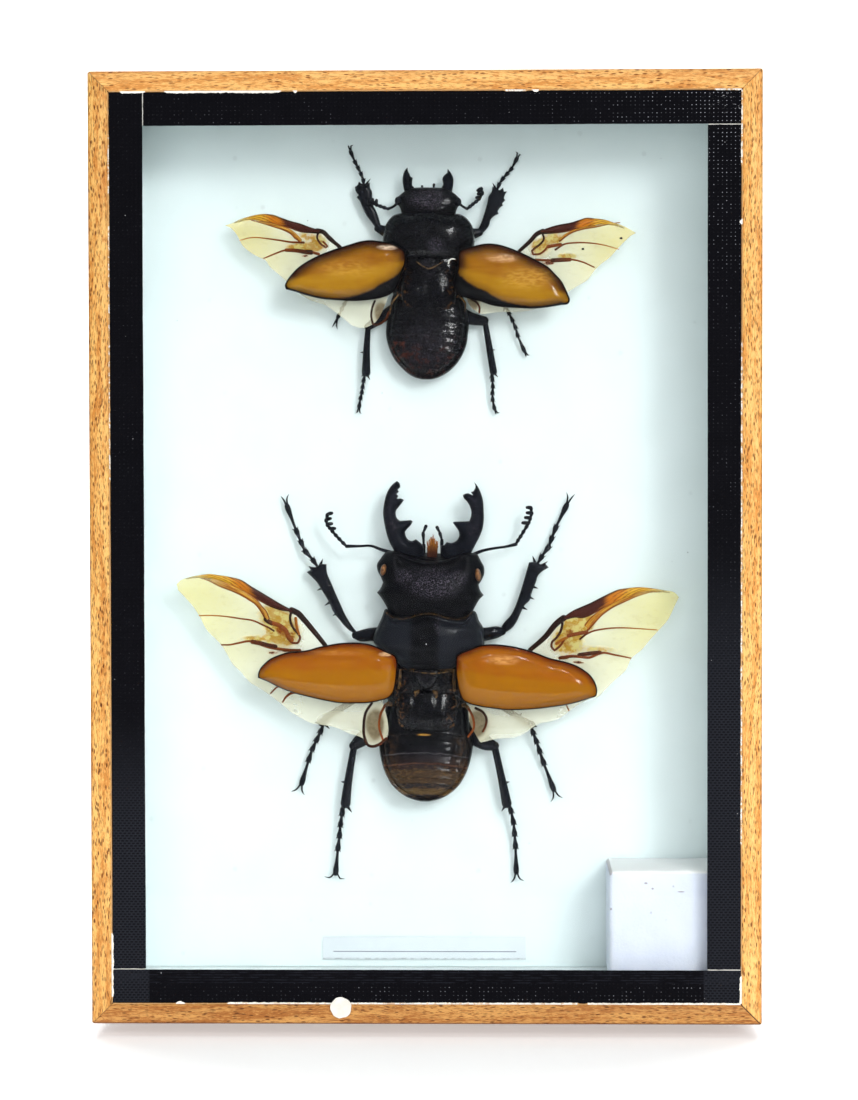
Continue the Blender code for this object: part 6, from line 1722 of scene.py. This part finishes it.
    bm = bmesh.new()
    ellipsoid(bm, (-6.9, 12.8, 6.6), (0.8, 1, 1), 4)
    ellipsoid(bm, (6.6, 12.6, 6.6), (0.8, 1, 1), 4)
    body_part("female", "eyes", bm, LEG_SHELL)

    antenna("female", "left_antenna", [(-6.9, 12.6, 5.4, 0.35), (-8.2, 11.5, 5.3, 0.28), (-9.3, 11.1, 5.2, 0.34)],
        [(-9.3, 11.1), (-10.2, 11.4), (-11.1, 11.7), (-11.9, 12), (-12.7, 12.4), (-13.6, 12.3)],
        [((-13.6, 12.3), (-13.5, 13.6)), ((-12.9, 12.4), (-12.7, 13.6)), ((-12.1, 12.2), (-11.8, 13.4))], 5.1)
    antenna("female", "right_antenna", [(6.7, 12.6, 5.4, 0.35), (7.7, 11.7, 5.3, 0.28), (8.7, 11.2, 5.2, 0.34)],
        [(8.7, 11.2), (9.4, 11.8), (10, 12.3), (10.8, 12.9), (11.4, 13.5), (12.1, 14.8), (11.8, 15.8)],
        [((11.8, 15.8), (10.7, 15.1)), ((12.1, 14.9), (10.7, 14.4)), ((11.6, 13.8), (10.4, 13.7))], 5.1)


def make_female_legs():
    leg("female", "front_left_leg", [(-4.4, 4.6, 3.2, 1.5), (-8.6, 5.6, 3.6, 1.5), (-11.6, 6.8, 3.6, 0.9)],
        [(-11.3, 6.6, 3.5, 0.6), (-13, 10, 3.4, 1), (-15, 16, 3.2, 1)], [(-13.4, 18)],
        [(-14.9, 16.2), (-15, 17.8), (-15.6, 19.3), (-16.3, 20.7), (-17, 22), (-18, 24.3)],
        [(-18.6, 25.8), (-17.5, 25.9)], ([(-11.4, 6.2), (-11.8, 6.6), (-13.4, 8.6), (-14.3, 9.8), (-15.2, 11.6),
          (-15.9, 13.1), (-16.5, 13.8), (-16.1, 14.3), (-16.8, 15.4), (-16.9, 16.2), (-16.4, 16.5), (-16, 17.4),
          (-15.5, 17), (-14.4, 16.6), (-13.5, 17.3), (-13.4, 15.9), (-13.1, 15.4), (-12.9, 13.2), (-12.7, 12),
          (-12.2, 11.1), (-11.1, 8), (-10.9, 7)], 3.3, 1.4))
    leg("female", "front_right_leg", [(4.4, 4.6, 3.2, 1.5), (8.8, 5.4, 3.6, 1.5), (11.5, 6, 3.6, 0.9)],
        [(11.3, 5.9, 3.5, 0.6), (12.9, 8.2, 3.4, 0.9), (15.5, 15.2, 3.2, 1)], [(14.4, 17.2)],
        [(15.4, 15.4), (15.9, 17), (16.8, 18.4), (17.8, 19.5), (18.7, 20.6), (19.9, 23)],
        [(19.6, 24.5), (20.8, 23.8)], ([(11, 6.4), (11.6, 7.6), (12.5, 10.1), (13.2, 12.6), (13.6, 14.4),
          (14.1, 15.1), (14.4, 16.5), (15.2, 15.8), (16.1, 15.6), (16.8, 16.2), (17, 15.3), (17.7, 15.3),
          (17.3, 14.7), (17, 13.8), (17.3, 13.3), (16.6, 12.6), (16.8, 12.1), (16.2, 11.7), (15.6, 10.8),
          (15.8, 10.2), (14.8, 9.7), (14.1, 9), (13.6, 7.4), (12.8, 6.4), (11.7, 5.4)], 3.3, 1.4))
    leg("female", "middle_left_leg", [(-4, -3.4, 2.8, 1.2), (-8.5, -4, 3.2, 1.1), (-12, -4.8, 3.4, 0.8)],
        [(-11.7, -4.7, 3.4, 0.6), (-14.6, -5.7, 3.2, 0.65), (-17.2, -7.2, 3, 0.75)],
        [(-18.2, -6.6), (-17, -8.4)], [(-16.9, -7.2), (-17.9, -8.3), (-18.6, -9.4), (-19.2, -10.4), (-19.8, -11.5),
         (-20.7, -13.4)], [(-22, -15.6), (-20.8, -16.1)])
    leg("female", "middle_right_leg", [(4, -3.4, 2.8, 1.2), (8.5, -4.6, 3.2, 1.1), (12, -6.2, 3.4, 0.8)],
        [(11.7, -6.1, 3.4, 0.6), (14.8, -8, 3.2, 0.65), (17.6, -10.6, 3, 0.75)], [(18.6, -10.4), (17, -11.9)],
        [(17.5, -10.6), (18.4, -12.4), (19.2, -14), (19.9, -15.6), (20.4, -17.4), (21.9, -20.8)],
        [(22.3, -22.1), (23.1, -21.7)])
    leg("female", "hind_left_leg", [(-3.6, -8.6, 2.8, 1.3), (-9.6, -12.8, 3.4, 1.3), (-13.7, -15.6, 3.6, 0.9)],
        [(-13.7, -15.6, 3.6, 0.6), (-14, -20.9, 3.4, 0.78), (-14.1, -26, 3.1, 1)],
        [(-13.2, -27.6), (-15.2, -26.9), (-15.4, -21.4)],
        [(-14.3, -26), (-14.7, -28), (-14.9, -29.4), (-15.1, -30.6), (-15.4, -31.9), (-15.7, -33.8)],
        [(-16.4, -35.1), (-15.2, -35.3)])
    leg("female", "hind_right_leg", [(3.6, -8.6, 2.8, 1.3), (9.2, -13.4, 3.4, 1.5), (12.7, -14.1, 3.6, 1.1)],
        [(12.9, -14.2, 3.6, 0.6), (13.9, -19.9, 3.4, 0.75), (14.9, -25.6, 3.1, 0.85)],
        [(14, -27.2), (15.9, -26.8), (15.2, -20.6)],
        [(14.7, -25.6), (14.7, -27.6), (14.8, -29.1), (14.7, -30.6), (14.8, -32.1), (15.2, -34)],
        [(15.6, -35.2), (16.4, -34.9)])


def make_female_wings():
    wing_case("female", "left", [(-31.9, -7.6), (-32.1, -6.8), (-31.5, -5.4), (-30.6, -4.2), (-29.5, -3),
         (-28.1, -1.9), (-26.3, -0.8), (-24.3, 0.2), (-22.1, 1.1), (-19.8, 1.9), (-17.6, 2.6), (-15.3, 3.3),
         (-13.1, 3.6), (-10.8, 3.4), (-8.5, 3.1), (-6.3, 2.1), (-5.4, 1.5), (-4.9, 0.3), (-4.9, -0.8), (-5.1, -2.1),
         (-5.8, -3.7), (-6.2, -5.3), (-8, -8.2), (-10.7, -9.4), (-13, -9.8), (-16.4, -10.1), (-19.7, -10),
         (-24.3, -9.6), (-27.7, -8.8), (-29.9, -8.1)], (-9.4, 0.6, 2.2, 0.6),
        [(-5.4, -2.4), (-6.9, -4.2), (-8.5, -5.3), (-10.7, -6.4), (-12.5, -7.6), (-14.1, -8.3), (-17.5, -9.2),
         (-22, -9.6), (-28, -8.5)])
    wing_case("female", "right", [(6.8, 0.8), (7, 1.3), (8.4, 2), (10.6, 2.5), (12.4, 2.9), (14, 3), (16.2, 2.7),
         (18.5, 2), (20.7, 1.1), (23, 0), (25.3, -1.2), (27.1, -2.3), (28.6, -3.8), (30, -5.3), (30.9, -6.9),
         (31.6, -8.5), (32, -9.6), (31.7, -10.4), (29.8, -10.8), (27.6, -11.2), (25.3, -11.5), (23.1, -11.6),
         (20.8, -11.5), (18.6, -11.4), (16.3, -11.2), (14.1, -10.8), (11.8, -10), (9.6, -9.5), (8, -9), (6.4, -7.5),
         (5.7, -5.9), (6.1, -4.1), (6.6, -3)], (10.4, 0, 2.2, 0.6),
        [(6.2, -2.6), (7.5, -4.5), (9.1, -5.9), (11.3, -7.1), (12.9, -7.7), (14.5, -8.8), (16.3, -9.7), (18.6, -10.4),
         (22, -11), (26.5, -11), (29.8, -10.3)])

    lead = [(-8.6, -3), (-14, 0.2), (-19.9, 2.2), (-22.2, 4), (-24, 5.8), (-25, 6.1), (-26.8, 6.7), (-29, 7.5),
            (-31.3, 8.1), (-33.6, 8.9), (-34.7, 9.4), (-36.3, 9.6), (-38.6, 9.5), (-40.4, 9.1), (-42.7, 8.4),
            (-44.5, 7.5), (-46.1, 7)]
    field_back = [(-24.8, 5.5), (-26.3, 5.6), (-29, 5.8), (-31.3, 6.6), (-33.6, 7.1), (-35.9, 7.8), (-38.1, 8.1),
                  (-40.4, 8.3), (-44, 7.5)]
    band_front = [(-28.6, 3.8), (-29.6, 4.9), (-31.4, 6.3), (-33.6, 7), (-35.9, 7.7), (-38.1, 8), (-40.6, 8.3)]
    band_back = [(-28.8, 3.3), (-30.1, 4.2), (-31.1, 5.2), (-33.1, 6.2), (-35.1, 6.8), (-37.8, 7.6), (-40.1, 8.2)]
    hindwing("female", "left", lead, [(-8.6, -7), (-9.7, -10.8), (-12.4, -15.1), (-14.6, -16), (-17.1, -15.4),
             (-18.7, -14.2), (-23.3, -10.9), (-26.7, -9.8), (-32.4, -5.3), (-34.2, -3.7), (-35.8, -2.4),
             (-36.9, -0.8), (-38.5, -0.1), (-40.4, 1), (-42.2, 2.6), (-43.1, 4.4), (-44.5, 6.4)],
        ([(-24.4, 6), *lead[6:10], *lead[11:14], (-44, 7.8)], field_back), (band_front, band_back),
        [([*lead[2:4], (-24, 5.7), (-25.2, 5.9)], 0.26, 0.32, 0, 0),
         (field_back[:7], 0.22, 0.08, 0, 0.6),
         (band_back, 0.16, 0.07, 0.25, 0.7),
         ([(-42.8, 3.6), (-39.8, 4.3), (-36.8, 4.1), (-33.8, 3.7), (-31.1, 3.3), (-28.2, 3.2)], 0.06, 0.15, 1, 0.2),
         ([(-37.3, -0.4), (-35.1, 0.5), (-32.1, 1.5), (-29.8, 1.4), (-27.8, 1.1), (-26.2, 1), (-24.8, 0.6)],
           0.09, 0.2, 0.6, 0.3),
         ([(-32.2, 1.5), (-29.8, 1.4), (-27.8, 1.1), (-26.5, 1)], 0.26, 0.32, 0.3, 0.1),
         ([(-24.8, 5.7), (-25.2, 4.4), (-24.5, 3.1), (-23.2, 2.1), (-22.8, 2.4), (-23.8, 3.4)], 0.16, 0.14, 0, 0.4),
         ([(-24.8, 6.1), (-22.5, 4.6), (-20.2, 2.2)], 0.2, 0.2, 0, 0),
         ([(-12, -9.9), (-12.6, -11.5), (-12.8, -13.5), (-12.4, -15.1), (-11.5, -15.3), (-9.7, -14.2), (-8.8, -12.4)],
           0.16, 0.15, 0, 0.2)],
        [(-28.8, 2.1, 3.2, 0.9, 1), (-24.8, 3.2, 1.8, 1.8, 0.9), (-28, 4.6, 2.4, 1, 0.5)],
        [(-27.8, 0.2, 1.4, 0.45, 0.9), (-31.5, 4.8, 1.2, 0.4, 0.5)],
        [(-10.6, -12.4, 2, 3, 1)])

    lead = [(8.6, -3), (14, -0.2), (20.5, 1.5), (23, 3.8), (24.6, 5.6), (25.9, 6.3), (27.5, 7), (29.7, 7.6), (32, 8),
            (34.2, 8.7), (35.4, 9.1), (37.6, 9), (39.9, 8.7), (41.5, 8.2), (43.7, 7.5), (45.5, 6.6), (46.9, 5.8)]
    field_back = [(25.6, 5.7), (28.2, 5.8), (30.9, 6.1), (33.1, 6.6), (35.4, 7.1), (37.6, 7.5), (39.9, 7.7),
                  (41.5, 7.5), (44.3, 6.7)]
    band_front = [(29.5, 4.3), (30.9, 5.5), (32.5, 6.3), (34.9, 7), (37.9, 7.4), (40.9, 7.9), (43.2, 8.1)]
    band_back = [(29.7, 3.9), (30.9, 4.9), (32.5, 5.9), (34.9, 6.6), (37.9, 7.1), (40.9, 7.7), (43.2, 8)]
    hindwing("female", "right", lead, [(8.6, -7), (9, -10), (11.6, -12.5), (16.3, -12.2), (19.5, -12.2),
             (26.5, -10.8), (32.3, -7.2), (33.7, -6.3), (36.2, -4.7), (37.3, -3.1), (38.8, -1.5), (41.1, 0.3),
             (42.9, 2.4), (44.4, 3.9), (45.6, 5.1)],
        ([(25.2, 6.1), *lead[6:14], (44.4, 7)], field_back), (band_front, band_back),
        [([*lead[2:4], (24.6, 5.5), (25.9, 6.1)], 0.26, 0.32, 0, 0),
         (field_back[:6], 0.22, 0.08, 0, 0.6),
         ([*band_back[:5], (40.9, 7.8), (43.2, 8.1)], 0.16, 0.07, 0.25, 0.7),
         ([(28.7, 1.9), (30.6, 3.1), (33.2, 3.5), (35.9, 3.5), (39.2, 3.1), (43, 2.1)], 0.15, 0.06, 0.15, 1),
         ([(27.1, 2.6), (29.9, 3.1)], 0.26, 0.2, 0.3, 0.5),
         ([(24.2, -0.4), (27.2, -0.5), (30.2, -0.4), (32.5, -0.3), (34.5, -0.7), (37.5, -2)], 0.2, 0.09, 0.2, 0.6),
         ([(28, -0.5), (30.2, -0.4), (32, -0.3)], 0.32, 0.26, 0.1, 0.3),
         ([(25.7, 5.6), (26.1, 4.4), (25.2, 3.1), (23.9, 2.1), (23.4, 1.6), (23.7, 0.8), (25.1, 0.9), (26.4, 1.9),
           (26.9, 2.6)], 0.16, 0.14, 0, 0.4),
         ([(43.4, 4.6), (43.6, 4.6)], 0.16, 0.16, 0, 0),
         ([(34.8, 2.1), (35, 2.1)], 0.14, 0.14, 0, 0),
         ([(9.8, -9.3), (11.1, -10.2), (11.7, -11.4), (11.6, -12.4)], 0.16, 0.13, 0, 0.2)],
        [(31.3, 0.5, 2, 0.6, 0.9), (28.4, 4.4, 2.2, 1.4, 0.8), (25.2, 2.4, 2, 1.9, 0.9)],
        [(27.2, -1.1, 1.6, 0.6, 1)],
        [(10, -10.4, 1.8, 2.2, 1)])


# ---------------------------------------------------------------- camera, lamps, backdrop

def make_backdrop():
    """A white surface that curves up behind the case."""
    look = finish("white_backdrop", lambda w: {}, Base_Color=(0.96, 0.96, 0.96, 1.0), Roughness=0.9,
                  Emission_Color=(1.0, 1.0, 1.0, 1.0), Emission_Strength=0.42)
    half_width = 1.6
    profile = [(-0.22, 0.0), (0.9, 0.0), (1.2, 0.04), (1.4, 0.2), (1.5, 0.5), (1.5, 2.2)]
    lines = smooth([(0.0, y, z) for y, z in profile], 0.06)
    bm = bmesh.new()
    bmesh.ops.create_grid(bm, x_segments=1, y_segments=len(lines) - 1, size=1.0)
    rows = sorted({round(vert.co.y, 5) for vert in bm.verts})
    for vert in bm.verts:
        line = lines[rows.index(round(vert.co.y, 5))]
        vert.co = (vert.co.x * half_width, line.y, line.z)
    mesh = bpy.data.meshes.new("backdrop")
    bm.to_mesh(mesh)
    bm.free()
    mesh.materials.append(look)
    mesh.shade_smooth()
    floor = bpy.data.objects.new("backdrop", mesh)
    bpy.context.scene.collection.objects.link(floor)


def lamp(name, place, size, power, aim=(0.0, 0.0, 0.105), shines=True):
    """A round soft lamp; one that doesn't shine lights things without showing in gloss or through the glass."""
    light = bpy.data.lights.new(name, "AREA")
    light.shape = "DISK"
    light.size, light.energy = size, power
    thing = bpy.data.objects.new(name, light)
    bpy.context.scene.collection.objects.link(thing)
    thing.location, thing.visible_glossy, thing.visible_transmission = place, shines, shines
    thing.rotation_euler = (Vector(aim) - Vector(place)).to_track_quat("-Z", "Y").to_euler()


def make_camera():
    """A long lens in front of the glass, a little to the right of its middle, and turned slightly left and down."""
    place = (0.0166, -0.71965, 0.1262)
    scene = bpy.context.scene
    lens = bpy.data.cameras.new("camera")
    lens.lens, lens.sensor_width, lens.sensor_height, lens.sensor_fit = 104.33, 36.0, 36.0, "VERTICAL"
    camera = bpy.data.objects.new("camera", lens)
    scene.collection.objects.link(camera)
    yaw, pitch, roll = math.radians(-1.29), math.radians(-1.75), math.radians(-0.11)
    ahead = Vector((math.sin(yaw) * math.cos(pitch), math.cos(yaw) * math.cos(pitch), math.sin(pitch)))
    right = ahead.cross(Vector((0, 0, 1))).normalized()
    up = right.cross(ahead)
    side, top = right * math.cos(roll) + up * math.sin(roll), up * math.cos(roll) - right * math.sin(roll)
    camera.matrix_world = Matrix.Translation(place) @ Matrix((side, top, -ahead)).transposed().to_4x4()
    scene.camera = camera
    scene.render.resolution_x, scene.render.resolution_y = 858, 1100
    scene.view_settings.view_transform = "Standard"


def make_world():
    world = bpy.data.worlds.new("soft_room")
    world.use_nodes = True
    world.node_tree.nodes["Background"].inputs["Color"].default_value = (1.0, 1.0, 1.0, 1.0)
    world.node_tree.nodes["Background"].inputs["Strength"].default_value = 0.24
    bpy.context.scene.world = world


dress_case()
make_rails()
make_tape()
slab("mounting_board", "white_mounting_board", WHITE_BOARD, 0.27, 0.2, 4.0, 0.01)
slab("foam_block", "corner_foam_block", WHITE_FOAM, 0.0, 1.1, 0.8, 0.1)
make_dab()
make_male_body()
make_male_legs()
make_male_wings()
make_female_body()
make_female_legs()
make_female_wings()
make_backdrop()
make_world()
lamp("key", (0.58, -1.45, 0.63), 0.42, 8.2)
lamp("front_fill", (-0.05, -1.5, 0.2), 0.9, 10.8, shines=False)
lamp("glint", (0.18, -0.9, 1.3), 0.11, 0.9)
lamp("high_fill", (0.0, -0.9, 1.3), 0.8, 2.2, shines=False)
lamp("backdrop_light", (0.0, 0.75, 1.3), 1.3, 22.0, (0.0, 1.0, 0.1))
make_camera()
